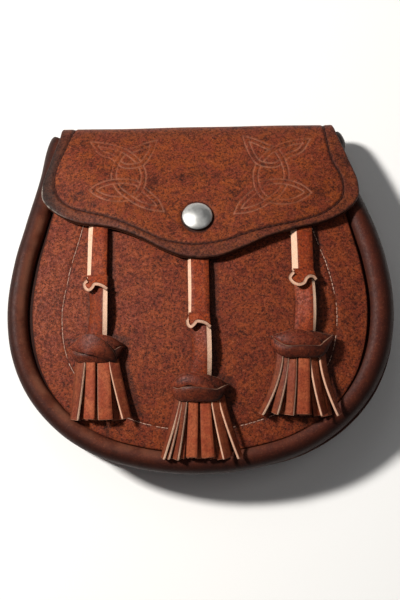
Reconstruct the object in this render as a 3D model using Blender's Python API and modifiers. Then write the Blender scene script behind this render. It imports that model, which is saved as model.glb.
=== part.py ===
"""A leather day sporran: a flat-backed pouch with a domed front, a flap over its mouth and three tassels.

It rests level on the two belt loops on its back: +Y runs to its top, +Z out of its front, and z = 0 is the
underside of the loops. Sizes are in millimetres here and are turned into metres where a mesh is made.
"""

import math
from collections import namedtuple

import bmesh
import bpy
import numpy as np
from mathutils import Vector

MM = 0.001
GAP = 0.3  # between pieces that touch

# Thickness of each leather
PANEL = 2.5
GUSSET = 2.0
STRAP = 2.2
LOOP = 2.2

# Heights above the underside of the belt loops
BELT_ROOM = 5.4
BACK_UNDER = LOOP + BELT_ROOM
BACK_MID = BACK_UNDER + PANEL / 2
BACK_TOP = BACK_UNDER + PANEL
APEX = 46.0  # the front panel at the middle of its dome
MIDDLE_UP = -15.0  # where that middle is, along the pouch
BOW_TOP = 2.2  # how far the hand-cut pouch bows to the left at its top, and at its bottom
BOW_BOTTOM = 0.9
BOW_UP = 5.0
BOW_REACH = 85.0

# The outline of the roll in plan, from the bottom of the pouch up its right side. rim is the height of the
# dome if it ran on out to the outline, inset is how far in the front panel's edge lies, and grow is how far
# the back reaches beyond the roll. The rows past the shoulder only carry the dome on over the mouth.
Outline = namedtuple("Outline", "across up rim inset grow")
OUTLINE = [
    Outline(0.0, -86.0, 31.6, 9.6, -3.0),
    Outline(28.5, -83.1, 31.6, 9.6, -2.2),
    Outline(54.2, -74.5, 31.6, 9.6, -1.0),
    Outline(71.5, -62.3, 31.6, 9.8, -0.1),
    Outline(85.4, -45.0, 31.6, 11.2, 0.4),
    Outline(92.6, -27.0, 31.8, 12.4, 0.6),
    Outline(95.0, -8.0, 31.8, 12.8, 0.6),
    Outline(91.6, 20.7, 31.0, 12.8, 0.4),
    Outline(86.6, 39.0, 28.9, 12.4, 0.2),
    Outline(79.4, 64.5, 23.7, 12.0, 0.0),
    Outline(73.0, 88.5, 17.0, 12.0, 0.0),
    Outline(58.0, 104.0, 9.0, 12.0, 0.0),
    Outline(30.0, 114.0, 2.0, 12.0, 0.0),
    Outline(0.0, 117.0, 0.0, 12.0, 0.0),
]
SHOULDER = 10  # the row where the gusset ends
BACK_TURN = 9  # the row above which the back narrows to the fold

# Flap: a half outline from the fold to the tip of the V; its corner row splits side from lower edge
Edge = namedtuple("Edge", "across up")
FLAP_SIDE = [Edge(69.5, 85.7), Edge(74.6, 70.5), Edge(78.6, 57.5), Edge(78.4, 51.0), Edge(75.3, 46.2)]
FLAP_LOWER = [
    Edge(75.3, 46.2), Edge(69.8, 41.8), Edge(60.5, 37.2), Edge(46.7, 33.8), Edge(32.0, 29.0),
    Edge(19.0, 23.0), Edge(9.0, 19.0), Edge(0.0, 17.8),
]  # fmt: skip
FLAP_SHIFT = 1.2  # the flap sits this far to the right
FLAP_LIFT = 3.4  # room between front panel and flap, for the thongs and the press stud
FOLD_RADIUS = 8.0
FOLD_UP = 82.25  # where the fold starts, along the pouch
FOLD_TURN = math.radians(154)
FOLD_BACK_HALF = 66.0
SETTLE = 14.0  # how fast the flap comes down from the fold onto the front

PANEL_TOP = 76.0
PANEL_TOP_HALF = 61.0
BASE_CORNER = math.radians(42)  # on the outline: where the bottom of a panel's grid meets its sides
BASE_STEPS = 60
SIDE_STEPS = 12

# Gusset, in section. The wall's rows are shares of its height and of its lean.
Step = namedtuple("Step", "inward upward")
Wall = namedtuple("Wall", "rise lean")
FLANGE = 5.0
TURN_UP = [Step(0.0, 0.0), Step(1.0, 0.5), Step(1.3, 1.7)]  # from the flange's end into the wall
WALL = [Wall(0.35, 0.62), Wall(0.7, 0.2)]
ROLL = 4.4  # outer radius of the roll
ROLL_RISE = 0.4  # of the roll's crest over the front panel's edge
ROLL_TURNS = np.radians([180, 152, 124, 96, 68, 40, 18])
HEM = 6.0
HEM_REACHES = (0.25, 1.0)
HEM_START = 0.6  # how far outside the front panel's edge the hem begins
HEM_CLEAR = 9.0  # and the least distance from the outline to it, clear of the roll
SLOPING = 1.1  # a height through sloping leather, over its thickness

# Press stud: a cap on a post through the flap, a socket on the post's foot, and the stud on the front panel
SNAP_UP = 37.8
CAP_RADIUS = 7.6
CAP_RISE = 2.7
CAP_RIM = 0.5
CAP_SEAT = GAP + 0.25  # the flap is domed under the cap
POST_RADIUS = 1.7
POST_HOLE = 2.0
SOCKET_RADIUS = 5.2
SOCKET_THICK = 1.3
SOCKET_HOLE = 2.7
SOCKET_DEEP = 0.9
STUD_RADIUS = 2.3
STUD_IN = 0.5  # how far the stud stands into the socket
STUD_BASE_RADIUS = 5.0
STUD_BASE = 0.7

# Each thong, from its hidden end under the flap past its curl to the head of its tassel, and the foot of that
Thong = namedtuple("Thong", "side top_across head_across foot_across foot_half top knot head")
THONGS = [
    Thong("left", -49.2, -49.9, -46.8, 16.4, 47.0, 4.0, -26.0),
    Thong("centre", -0.4, 0.6, 1.6, 18.4, 28.5, -15.9, -46.0),
    Thong("right", 50.0, 50.4, 48.6, 18.4, 45.0, 5.6, -25.8),
]
THONG_HALF = 4.9
THONG_LIFT = 0.4
KNOT_RISE = 3.6
KNOT_HALF = 5.0  # half its length along the thong

# Rings of a tassel, by how far each lies down the thong from the middle of the head. The fringe's widths are
# shares of its foot's.
Ring = namedtuple("Ring", "down half thick lift")
HEAD_RINGS = [
    Ring(-6.4, 5.6, 5.0, 0.9),
    Ring(-4.0, 8.8, 7.6, 0.9),
    Ring(0.4, 13.2, 8.8, 0.9),
    Ring(3.4, 11.8, 8.6, 0.9),
    Ring(6.3, 8.6, 6.6, 0.9),
]
FRINGE_RINGS = [
    Ring(6.8, 0.44, 6.0, 0.9),
    Ring(11.0, 0.53, 6.6, 0.9),
    Ring(17.0, 0.68, 6.4, 0.9),
    Ring(24.0, 0.85, 5.6, 1.2),
    Ring(32.6, 1.00, 4.4, 1.9),
]

# Belt loops, on the back. They reach under the middle of the pouch's weight, so that it rests level.
LOOP_ACROSS = 40.0
LOOP_HALF = 12.5
LOOP_SEWN = BACK_UNDER - GAP - LOOP / 2
Bend = namedtuple("Bend", "up height")
LOOP_PATH = [
    Bend(53.0, LOOP_SEWN),
    Bend(43.0, LOOP_SEWN),
    Bend(36.0, LOOP / 2),
    Bend(-14.0, LOOP / 2),
    Bend(-21.0, LOOP_SEWN),
    Bend(-31.0, LOOP_SEWN),
]

BROWN_PANEL = (0.165, 0.052, 0.028)
BROWN_FLAP = (0.195, 0.060, 0.028)
BROWN_ROLL = (0.052, 0.018, 0.012)
BROWN_THONG = (0.170, 0.040, 0.018)
BROWN_FRINGE = (0.215, 0.062, 0.020)
NICKEL = (0.60, 0.60, 0.58)


def clear_scene():
    for thing in list(bpy.data.objects):
        bpy.data.objects.remove(thing, do_unlink=True)


def material(name, colour, roughness, metallic=0.0):
    made = bpy.data.materials.new(name)
    made.use_nodes = True
    shader = made.node_tree.nodes["Principled BSDF"]
    shader.inputs["Base Color"].default_value = (*colour, 1.0)
    shader.inputs["Roughness"].default_value = roughness
    shader.inputs["Metallic"].default_value = metallic
    return made


def smooth_through(knots, values, at):
    """Cubics through the values at the knots, with each knot's slope taken from its two neighbours."""
    knots = np.asarray(knots, float)
    values = np.asarray(values, float)
    slopes = np.gradient(values, knots, axis=0)
    index = np.clip(np.searchsorted(knots, at, side="right") - 1, 0, len(knots) - 2)
    span = knots[index + 1] - knots[index]
    part = (at - knots[index]) / span
    if values.ndim > 1:
        span = span[..., None]
        part = part[..., None]
    start = values[index] * (1 + 2 * part) * (1 - part) ** 2 + slopes[index] * span * part * (1 - part) ** 2
    end = values[index + 1] * (3 - 2 * part) * part**2 - slopes[index + 1] * span * part**2 * (1 - part)
    return start + end


def along(points, count):
    """The smooth curve through plan points, read at equal steps of its length."""
    points = np.asarray(points, float)
    steps = np.linalg.norm(np.diff(points, axis=0), axis=1)
    length = np.concatenate([[0.0], np.cumsum(steps)])
    return smooth_through(length, points, np.linspace(0.0, length[-1], count))


# The outline in polar form round the middle of the dome: angle 0 points down the pouch, and both halves match
def angle_of(across, up):
    return np.arctan2(np.abs(across), MIDDLE_UP - up)


ROW_ANGLES = np.array([angle_of(row.across, row.up) for row in OUTLINE])
ROW_RADII = np.array([math.hypot(row.across, row.up - MIDDLE_UP) for row in OUTLINE])
KNOTS = np.concatenate([-ROW_ANGLES[2:0:-1], ROW_ANGLES, 2 * math.pi - ROW_ANGLES[-2:-4:-1]])


def around(values, angle):
    values = np.asarray(values, float)
    return smooth_through(KNOTS, np.concatenate([values[2:0:-1], values, values[-2:-4:-1]]), np.abs(angle))


def column(name, angle):
    return around([getattr(row, name) for row in OUTLINE], angle)


def outline_at(angle, inset=0.0):
    """Plan points of the outline at these angles, moved in by inset along its own normal."""

    def on_outline(angle):
        radius = around(ROW_RADII, angle)
        return np.stack([radius * np.sin(angle), MIDDLE_UP - radius * np.cos(angle)], axis=-1)

    step = 1e-3
    tangent = on_outline(angle + step) - on_outline(angle - step)
    tangent /= np.linalg.norm(tangent, axis=-1, keepdims=True)
    inward = np.stack([-tangent[..., 1], tangent[..., 0]], axis=-1)
    return on_outline(angle) + inward * np.asarray(inset)[..., None]


def front_height(across, up):
    """Height of the domed front at any plan point: it falls from the apex with the square of the distance."""
    angle = angle_of(across, up)
    share = np.hypot(across, up - MIDDLE_UP) / around(ROW_RADII, angle)
    return APEX - (APEX - column("rim", angle)) * share**2


def patch(top, bottom, left, right):
    """A grid of plan points between four edge curves that share their corners, in rows from top to bottom."""
    u = np.linspace(0.0, 1.0, len(top))[None, :, None]
    v = np.linspace(0.0, 1.0, len(left))[:, None, None]
    across = (1 - v) * top[None] + v * bottom[None]
    down = (1 - u) * left[:, None] + u * right[:, None]
    corners = (1 - v) * ((1 - u) * top[0] + u * top[-1]) + v * ((1 - u) * bottom[0] + u * bottom[-1])
    return across + down - corners


def bowed(across, up):
    return across - (BOW_TOP if up > BOW_UP else BOW_BOTTOM) * ((up - BOW_UP) / BOW_REACH) ** 2


def mirrored(points, shift=0.0):
    return np.asarray(points) * [-1, 1] + [shift, 0]


def shifted(points, shift):
    return np.asarray(points) + [shift, 0]


def with_height(plan, height):
    return np.concatenate([plan, height[..., None]], axis=-1)


def add_mesh(name, vertices, faces, surface, collection):
    mesh = bpy.data.meshes.new(name)
    mesh.from_pydata([(bowed(x, y) * MM, y * MM, z * MM) for x, y, z in vertices], [], faces)
    mesh.materials.append(surface)
    mesh.shade_smooth()
    thing = bpy.data.objects.new(name, mesh)
    collection.objects.link(thing)
    return thing


def grid_faces(rows, columns, closed=False):
    """Quads over a grid of vertices; closed joins the last column to the first."""
    faces = []
    for i in range(rows - 1):
        for j in range(columns if closed else columns - 1):
            k = (j + 1) % columns
            faces.append((i * columns + j, (i + 1) * columns + j, (i + 1) * columns + k, i * columns + k))
    return faces


def sheet(name, grid, thickness, offset, surface, collection):
    """An open leather surface, given its thickness by Solidify. Offset -1 puts it all behind the surface."""
    rows, columns = grid.shape[:2]
    thing = add_mesh(name, grid.reshape(-1, 3), grid_faces(rows, columns), surface, collection)
    solidify = thing.modifiers.new("thickness", "SOLIDIFY")
    solidify.thickness = thickness * MM
    solidify.offset = offset
    solidify.use_even_offset = True
    return thing


def lofted(name, rings, surface, collection):
    """A closed body through rings of the same number of points."""
    count, sides = rings.shape[:2]
    faces = grid_faces(count, sides, closed=True)
    faces.append(tuple(range(sides)))
    faces.append(tuple(reversed(range((count - 1) * sides, count * sides))))
    thing = add_mesh(name, rings.reshape(-1, 3), faces, surface, collection)
    tidy = bmesh.new()
    tidy.from_mesh(thing.data)
    bmesh.ops.recalc_face_normals(tidy, faces=tidy.faces)
    tidy.to_mesh(thing.data)
    tidy.free()
    return thing


def turned(name, profile, place, surface, collection, steps=32):
    """A profile of (radius, height) points turned about its axis, stood on the front along its slope."""
    mesh = bpy.data.meshes.new(name)
    points = [(radius * MM, 0.0, height * MM) for radius, height in profile]
    mesh.from_pydata(points, [(i, i + 1) for i in range(len(points) - 1)], [])
    mesh.materials.append(surface)
    thing = bpy.data.objects.new(name, mesh)
    collection.objects.link(thing)
    screw = thing.modifiers.new("turn", "SCREW")
    screw.steps = steps
    screw.render_steps = steps
    screw.use_merge_vertices = True
    screw.merge_threshold = 0.00001
    across, up, height, slope = place
    thing.location = (across * MM, up * MM, height * MM)
    thing.rotation_euler = (slope, 0.0, 0.0)
    return thing


FOLD_CENTRE = BACK_MID + FOLD_RADIUS
FOLD_END_UP = FOLD_UP + FOLD_RADIUS * math.sin(FOLD_TURN)
FOLD_END_HEIGHT = FOLD_CENTRE - FOLD_RADIUS * math.cos(FOLD_TURN)


def flap_height(across, up):
    """Height of the flap's middle surface: it follows the front at its lift, and eases in from the fold."""
    lift = FLAP_LIFT + PANEL / 2
    over = FOLD_END_HEIGHT - (front_height(across, np.full_like(up, FOLD_END_UP)) + lift)
    return front_height(across, up) + lift + over * np.exp((up - FOLD_END_UP) / SETTLE)


def back_and_flap(surface, collection):
    columns = 27
    back_rows = 16
    fold_rows = 9
    flap_rows = 13

    side_angles = np.linspace(BASE_CORNER, ROW_ANGLES[BACK_TURN], SIDE_STEPS)
    side = outline_at(side_angles, -column("grow", side_angles))
    right = along(np.vstack([side, [(FOLD_BACK_HALF, FOLD_UP)]]), back_rows)
    base_angles = np.linspace(-BASE_CORNER, BASE_CORNER, BASE_STEPS)
    bottom = along(outline_at(base_angles, -column("grow", base_angles)), columns)
    across = np.linspace(-1.0, 1.0, columns)
    top = np.stack([across * FOLD_BACK_HALF, np.full(columns, FOLD_UP)], axis=-1)
    back = patch(bottom, top, mirrored(right), right)
    back = with_height(back, np.full(back.shape[:2], BACK_MID))

    turn = np.linspace(0.0, FOLD_TURN, fold_rows + 2)[1:-1]
    part = turn / FOLD_TURN
    half = FOLD_BACK_HALF + (FLAP_SIDE[0].across - FOLD_BACK_HALF) * part
    fold = np.zeros((fold_rows, columns, 3))
    fold[..., 0] = half[:, None] * across[None] + FLAP_SHIFT * part[:, None]
    fold[..., 1] = (FOLD_UP + FOLD_RADIUS * np.sin(turn))[:, None]
    fold[..., 2] = (FOLD_CENTRE - FOLD_RADIUS * np.cos(turn))[:, None]

    right = shifted(along(FLAP_SIDE, flap_rows), FLAP_SHIFT)
    left = mirrored(along(FLAP_SIDE, flap_rows), FLAP_SHIFT)
    lower_half = along(FLAP_LOWER, columns // 2 + 1)
    lower = np.vstack([mirrored(lower_half), lower_half[-2::-1]])
    lower = shifted(lower, FLAP_SHIFT)
    start = np.stack([across * FLAP_SIDE[0].across + FLAP_SHIFT, np.full(columns, FOLD_END_UP)], axis=-1)
    left[0] = start[0]
    right[0] = start[-1]
    plan = patch(start, lower, left, right)
    flap = with_height(plan, flap_height(plan[..., 0], plan[..., 1]))

    return sheet("back_and_flap", np.vstack([back, fold, flap]), PANEL, 0.0, surface, collection)


def front_panel(surface, collection):
    columns = 27
    rows = 19

    side_angles = np.linspace(BASE_CORNER, ROW_ANGLES[BACK_TURN], SIDE_STEPS)
    side = outline_at(side_angles, column("inset", side_angles))
    right = along(np.vstack([side, [(PANEL_TOP_HALF, PANEL_TOP)]]), rows)
    base_angles = np.linspace(-BASE_CORNER, BASE_CORNER, BASE_STEPS)
    bottom = along(outline_at(base_angles, column("inset", base_angles)), columns)
    across = np.linspace(-PANEL_TOP_HALF, PANEL_TOP_HALF, columns)
    top = np.stack([across, np.full(columns, PANEL_TOP)], axis=-1)
    plan = patch(top, bottom, mirrored(right)[::-1], right[::-1])
    grid = with_height(plan, front_height(plan[..., 0], plan[..., 1]))
    return sheet("front_panel", grid, PANEL, -1.0, surface, collection)


def gusset_section(angle):
    """Middle line of the gusset where the outline has this angle, as (inset, height) pairs: the flange on the
    back, the wall, the roll, and the hem under the front panel."""
    grow = float(column("grow", angle))
    inset = float(column("inset", angle))
    edge = outline_at(np.array(angle), inset)
    edge_height = float(front_height(edge[0], edge[1]))
    roll_centre = edge_height + ROLL_RISE - ROLL
    radius = ROLL - GUSSET / 2
    low = BACK_TOP + GAP + GUSSET / 2

    section = [(-grow, low), (-grow + FLANGE / 2, low)]
    for step in TURN_UP:
        section.append((-grow + FLANGE + step.inward, low + step.upward))
    foot, wall_foot = section[-1]
    outer = ROLL - radius
    for row in WALL:
        section.append((outer + (foot - outer) * row.lean, wall_foot + (roll_centre - wall_foot) * row.rise))
    for turn in ROLL_TURNS:
        section.append((ROLL + radius * math.cos(turn), roll_centre + radius * math.sin(turn)))
    under = (PANEL + GAP + GUSSET / 2) * SLOPING
    for part in HEM_REACHES:
        reach = max(inset - HEM_START, HEM_CLEAR) + HEM * part
        point = outline_at(np.array(angle), reach)
        section.append((reach, float(front_height(point[0], point[1])) - under))
    return section


def gusset(surface, collection):
    stations = 57
    end = ROW_ANGLES[SHOULDER]
    grid = []
    for angle in np.linspace(-end, end, stations):
        row = []
        for inset, height in gusset_section(angle):
            point = outline_at(np.array(angle), inset)
            row.append((*point, height))
        grid.append(row)
    return sheet("gusset", np.array(grid), GUSSET, 0.0, surface, collection)


def thong_line(thong, up):
    """Where the middle of a thong is across the pouch, at this place along it."""
    part = (thong.top - up) / (thong.top - thong.head)
    return thong.top_across + (thong.head_across - thong.top_across) * part


def thong_strap(row, surface, collection):
    """A flat strap on the front, raised in a curl where it is passed through its own slit."""
    end = row.head - HEAD_RINGS[0].down + 2 * GAP
    up = np.concatenate([
        np.linspace(row.top, row.knot + KNOT_HALF, 6),
        np.linspace(row.knot + KNOT_HALF, row.knot - KNOT_HALF, 9)[1:-1],
        np.linspace(row.knot - KNOT_HALF, end, 4),
    ])  # fmt: skip
    curl = np.clip(1 - np.abs(up - row.knot) / KNOT_HALF, 0, 1)
    curl = KNOT_RISE * curl**2 * (3 - 2 * curl)
    across = thong_line(row, up)[:, None] + np.linspace(-THONG_HALF, THONG_HALF, 5)[None]
    up = np.broadcast_to(up[:, None], across.shape)
    height = front_height(across, up) + THONG_LIFT + curl[:, None]
    grid = np.stack([across, up, height], axis=-1)
    return sheet("thong_" + row.side, grid, STRAP, 1.0, surface, collection)


def laid_ring(middle, half, up, ring, sides, roundness):
    """One ring of a soft flattened body that lies along the domed front."""
    turn = (np.arange(sides) + 0.5) / sides * 2 * math.pi
    wide = np.sign(np.cos(turn)) * np.abs(np.cos(turn)) ** roundness
    tall = np.sign(np.sin(turn)) * np.abs(np.sin(turn)) ** roundness
    across = middle + half * wide
    up = np.full(sides, up)
    height = front_height(across, up) + ring.lift + ring.thick * (1 + tall) / 2
    return np.stack([across, up, height], axis=-1)


def tassel(row, head_surface, fringe_surface, collection):
    head = [laid_ring(row.head_across, ring.half, row.head - ring.down, ring, 16, 0.8) for ring in HEAD_RINGS]
    lofted("tassel_head_" + row.side, np.array(head), head_surface, collection)

    fringe = []
    for ring in FRINGE_RINGS:
        part = ring.down / FRINGE_RINGS[-1].down
        middle = row.head_across + (row.foot_across - row.head_across) * part
        fringe.append(laid_ring(middle, row.foot_half * ring.half, row.head - ring.down, ring, 20, 0.6))
    lofted("tassel_fringe_" + row.side, np.array(fringe), fringe_surface, collection)


def press_stud(flap, surface, collection, cutters):
    """The cap with its post and socket, in one piece through the flap, and the stud it snaps onto."""
    step = 0.5
    rise = front_height(0.0, SNAP_UP - step) - front_height(0.0, SNAP_UP + step)
    slope = -math.atan(float(rise) / (2 * step))
    middle = float(flap_height(np.array(0.0), np.array(SNAP_UP)))
    place = (bowed(0.0, SNAP_UP), SNAP_UP, middle, slope)

    face = PANEL / 2
    seat = face + CAP_SEAT
    dome = [
        (CAP_RADIUS * math.sin(turn), seat + CAP_RIM + (CAP_RISE - CAP_RIM) * math.cos(turn))
        for turn in np.linspace(0.0, math.pi / 2, 7)
    ]
    socket_top = -face - GAP
    socket_foot = socket_top - SOCKET_THICK
    inside = [
        (CAP_RADIUS, seat),
        (POST_RADIUS, seat),
        (POST_RADIUS, socket_top),
        (SOCKET_RADIUS, socket_top),
        (SOCKET_RADIUS, socket_foot),
        (SOCKET_HOLE, socket_foot),
        (SOCKET_HOLE, socket_foot + SOCKET_DEEP),
        (0.0, socket_foot + SOCKET_DEEP),
    ]
    turned("snap_cap", dome + inside, place, surface, collection)

    stud_foot = -face - FLAP_LIFT * math.cos(slope) + GAP
    stud = [
        (0.0, socket_foot + STUD_IN),
        (STUD_RADIUS, socket_foot + STUD_IN),
        (STUD_RADIUS, stud_foot + STUD_BASE),
        (STUD_BASE_RADIUS, stud_foot + STUD_BASE),
        (STUD_BASE_RADIUS, stud_foot),
        (0.0, stud_foot),
    ]
    turned("snap_stud", stud, place, surface, collection)

    bpy.ops.mesh.primitive_cylinder_add(radius=POST_HOLE * MM, depth=20 * MM, vertices=24)
    cutter = bpy.context.object
    cutter.name = "post_hole"
    cutter.location = Vector(place[:3]) * MM
    cutter.rotation_euler = (slope, 0.0, 0.0)
    cutter.hide_render = True
    cutter.display_type = "WIRE"
    for home in list(cutter.users_collection):
        home.objects.unlink(cutter)
    cutters.objects.link(cutter)
    cut = flap.modifiers.new("post_hole", "BOOLEAN")
    cut.operation = "DIFFERENCE"
    cut.object = cutter
    return cutter


def belt_loop(side, sign, surface, collection):
    """A strap sewn to the back at both ends, bowed out between them so that a belt passes behind it."""
    path = np.array(LOOP_PATH)
    across = sign * LOOP_ACROSS + np.linspace(-LOOP_HALF, LOOP_HALF, 3)
    grid = np.zeros((len(path), len(across), 3))
    grid[..., 0] = across[None]
    grid[..., 1] = path[:, 0, None]
    grid[..., 2] = path[:, 1, None]
    return sheet("belt_loop_" + side, grid, LOOP, 0.0, surface, collection)


def centre_on_origin(pouch):
    """Move the pouch so that its box stands over the origin."""
    bpy.context.view_layer.update()
    shapes = bpy.context.evaluated_depsgraph_get()
    points = []
    for thing in pouch.children:
        if not thing.hide_render:
            shape = thing.evaluated_get(shapes)
            points += [shape.matrix_world @ vertex.co for vertex in shape.to_mesh().vertices]
            shape.to_mesh_clear()
    low = Vector([min(point[i] for point in points) for i in range(3)])
    high = Vector([max(point[i] for point in points) for i in range(3)])
    pouch.location = (-(low.x + high.x) / 2, -(low.y + high.y) / 2, -low.z)


def main():
    clear_scene()
    parts = bpy.data.collections.new("sporran")
    cutters = bpy.data.collections.new("cutters")
    for collection in (parts, cutters):
        bpy.context.scene.collection.children.link(collection)

    flap_leather = material("flap_leather", BROWN_FLAP, 0.6)
    panel_leather = material("panel_leather", BROWN_PANEL, 0.6)
    roll_leather = material("roll_leather", BROWN_ROLL, 0.4)
    thong_leather = material("thong_leather", BROWN_THONG, 0.55)
    fringe_leather = material("fringe_leather", BROWN_FRINGE, 0.6)
    nickel = material("nickel", NICKEL, 0.3, 1.0)

    flap = back_and_flap(flap_leather, parts)
    front_panel(panel_leather, parts)
    gusset(roll_leather, parts)
    for row in THONGS:
        thong_strap(row, thong_leather, parts)
        tassel(row, roll_leather, fringe_leather, parts)
    for side, sign in (("left", -1), ("right", 1)):
        belt_loop(side, sign, roll_leather, parts)
    cutter = press_stud(flap, nickel, parts, cutters)

    pouch = bpy.data.objects.new("sporran", None)
    bpy.context.scene.collection.objects.link(pouch)
    for thing in [*parts.objects, cutter]:
        thing.parent = pouch
    centre_on_origin(pouch)


main()
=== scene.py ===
# %% [markdown]
# # A leather day sporran
# A sporran is the pouch that hangs at the front of a kilt. This one is hand-made: a flat back that folds over
# the mouth as a flap, a domed front panel, a rolled gusset round it, and three leather tassels. The packed
# model is loaded first, because every piece made here has to sit where that model says.

# %% Load the packed model
import math
from collections import namedtuple

import bmesh
import bpy
import numpy as np
from mathutils import Matrix, Vector, kdtree


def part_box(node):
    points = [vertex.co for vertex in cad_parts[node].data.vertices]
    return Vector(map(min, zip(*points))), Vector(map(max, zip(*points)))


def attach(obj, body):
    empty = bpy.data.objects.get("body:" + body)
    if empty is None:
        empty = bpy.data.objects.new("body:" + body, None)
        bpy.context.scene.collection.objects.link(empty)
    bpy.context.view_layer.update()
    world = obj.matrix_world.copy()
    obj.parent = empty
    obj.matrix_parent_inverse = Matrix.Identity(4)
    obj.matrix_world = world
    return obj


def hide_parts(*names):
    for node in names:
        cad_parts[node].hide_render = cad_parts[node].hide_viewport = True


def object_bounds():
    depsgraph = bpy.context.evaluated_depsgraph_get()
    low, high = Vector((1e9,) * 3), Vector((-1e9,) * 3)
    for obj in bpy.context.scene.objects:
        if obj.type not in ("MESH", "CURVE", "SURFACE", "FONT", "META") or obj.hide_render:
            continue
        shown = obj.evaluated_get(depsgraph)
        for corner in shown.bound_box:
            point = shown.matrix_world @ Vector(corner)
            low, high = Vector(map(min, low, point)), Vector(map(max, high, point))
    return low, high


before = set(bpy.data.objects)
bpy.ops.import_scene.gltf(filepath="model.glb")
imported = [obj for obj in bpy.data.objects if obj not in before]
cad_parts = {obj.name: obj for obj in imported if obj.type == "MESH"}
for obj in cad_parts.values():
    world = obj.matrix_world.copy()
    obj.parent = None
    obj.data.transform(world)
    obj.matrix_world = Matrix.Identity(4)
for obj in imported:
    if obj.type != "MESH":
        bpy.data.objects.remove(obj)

cad_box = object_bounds()
cad_sides = [round(side * 1000, 1) for side in cad_box[1] - cad_box[0]]
print("packed model:", len(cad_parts), "nodes,", cad_sides, "mm")

# %% [markdown]
# ## The sizes of the pouch
# The pouch lies on its back, +Y to its top and +Z out of its front. Leather is measured in millimetres, so
# the numbers here are millimetres, counted from the pouch's own middle. The model's frame has its origin
# under the middle of the box, so one offset, read from three of its pieces, carries a point from one to the
# other.

# %% Sizes
MM = 0.001
GAP = 0.3
PANEL = 2.5
GUSSET = 2.0
STRAP = 2.2
LOOP = 2.2
BELT_ROOM = 5.4
BACK_UNDER = LOOP + BELT_ROOM
BACK_MID = BACK_UNDER + PANEL / 2
BACK_TOP = BACK_UNDER + PANEL

APEX = 46.0  # the front panel at the middle of its dome
MIDDLE_UP = -15.0
BOW_TOP = 2.2  # the hand-cut pouch bows to the left at its top and bottom
BOW_BOTTOM = 0.9
BOW_UP = 5.0
BOW_REACH = 85.0

TUCK = 2.4  # the right shoulder is tucked in behind the flap by this much
TUCK_FROM = (40.0, 35.0)  # the tuck starts here, across and up
TUCK_FADE = 25.0
TUCK_END = 6.0  # and it fades out again over this length under the fold
FLAP_SHIFT = 1.2
FLAP_LIFT = 3.4
FOLD_RADIUS = 8.0
FOLD_UP = 82.25
FOLD_TURN = math.radians(154)
FOLD_BACK_HALF = 66.0
SETTLE = 14.0  # over this length below the fold, the flap comes down on the dome
PANEL_TOP = 76.0
PANEL_TOP_HALF = 61.0
BASE_CORNER = math.radians(42)
SNAP_UP = 37.8
print("leather", (PANEL, GUSSET, STRAP), "mm thick, with", BELT_ROOM, "mm of room for a belt")

# %% [markdown]
# The outline is the one thing that the back, the roll and the front panel share. It is a short table from the
# bottom of the pouch up its right side. rim is how high the dome would be if it ran on out to the outline,
# inset is how far in the panel's edge lies, grow how far the back reaches beyond the roll, and crease how far
# in the stitched crease of the front panel runs.

# %% Outline
Outline = namedtuple("Outline", "across up rim inset grow crease")
OUTLINE = [
    Outline(0.0, -86.0, 31.6, 9.6, -3.0, 20.4),
    Outline(28.5, -83.1, 31.6, 9.6, -2.2, 20.8),
    Outline(54.2, -74.5, 31.6, 9.6, -1.0, 22.6),
    Outline(71.5, -62.3, 31.6, 9.8, -0.1, 24.2),
    Outline(85.4, -45.0, 31.6, 11.2, 0.4, 25.6),
    Outline(92.6, -27.0, 31.8, 12.4, 0.6, 27.2),
    Outline(95.0, -8.0, 31.8, 12.8, 0.6, 28.2),
    Outline(91.6, 20.7, 31.0, 12.8, 0.4, 29.8),
    Outline(86.6, 39.0, 28.9, 12.4, 0.2, 31.0),
    Outline(79.4, 64.5, 23.7, 12.0, 0.0, 32.0),
    Outline(73.0, 88.5, 17.0, 12.0, 0.0, 32.0),
    Outline(58.0, 104.0, 9.0, 12.0, 0.0, 32.0),
    Outline(30.0, 114.0, 2.0, 12.0, 0.0, 32.0),
    Outline(0.0, 117.0, 0.0, 12.0, 0.0, 32.0),
]
SHOULDER = 10  # the row where the gusset ends
BACK_TURN = 9  # the row above which the back narrows to the fold
print(len(OUTLINE), "rows, widest", 2 * max(row.across for row in OUTLINE), "mm")

# %% [markdown]
# ## Smooth curves through a few points
# Leather has no corners of its own, so every outline is drawn through a handful of points with cubics whose
# slope at each point comes from its two neighbours. The same function serves curves in the plane, curves in
# space and plain numbers, such as the height of the rim round the outline.

# %% Smooth curves
def smooth_through(knots, values, at):
    knots = np.asarray(knots, float)
    values = np.asarray(values, float)
    slopes = np.gradient(values, knots, axis=0)
    index = np.clip(np.searchsorted(knots, at, side="right") - 1, 0, len(knots) - 2)
    span = knots[index + 1] - knots[index]
    part = (at - knots[index]) / span
    if values.ndim > 1:
        span = span[..., None]
        part = part[..., None]
    start = values[index] * (1 + 2 * part) * (1 - part) ** 2 + slopes[index] * span * part * (1 - part) ** 2
    end = values[index + 1] * (3 - 2 * part) * part**2 - slopes[index + 1] * span * part**2 * (1 - part)
    return start + end


def lengths_along(points):
    """How far along a line of points each of them lies."""
    steps = np.linalg.norm(np.diff(points, axis=0), axis=1)
    return np.concatenate([[0.0], np.cumsum(steps)])


def along(points, count):
    """The smooth curve through points, read at equal steps of its length."""
    points = np.asarray(points, float)
    length = lengths_along(points)
    return smooth_through(length, points, np.linspace(0.0, length[-1], count))


def unit(vectors):
    return vectors / np.maximum(np.linalg.norm(vectors, axis=-1, keepdims=True), 1e-9)


def ramp(value, start, span):
    """0 up to start, 1 from start + span on, and straight between them. A negative span falls to the left."""
    return np.clip((value - start) / span, 0, 1)


def bell(away, width):
    """1 where away is 0, fading smoothly over about width on both sides."""
    return np.exp(-((away / width) ** 2))


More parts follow.
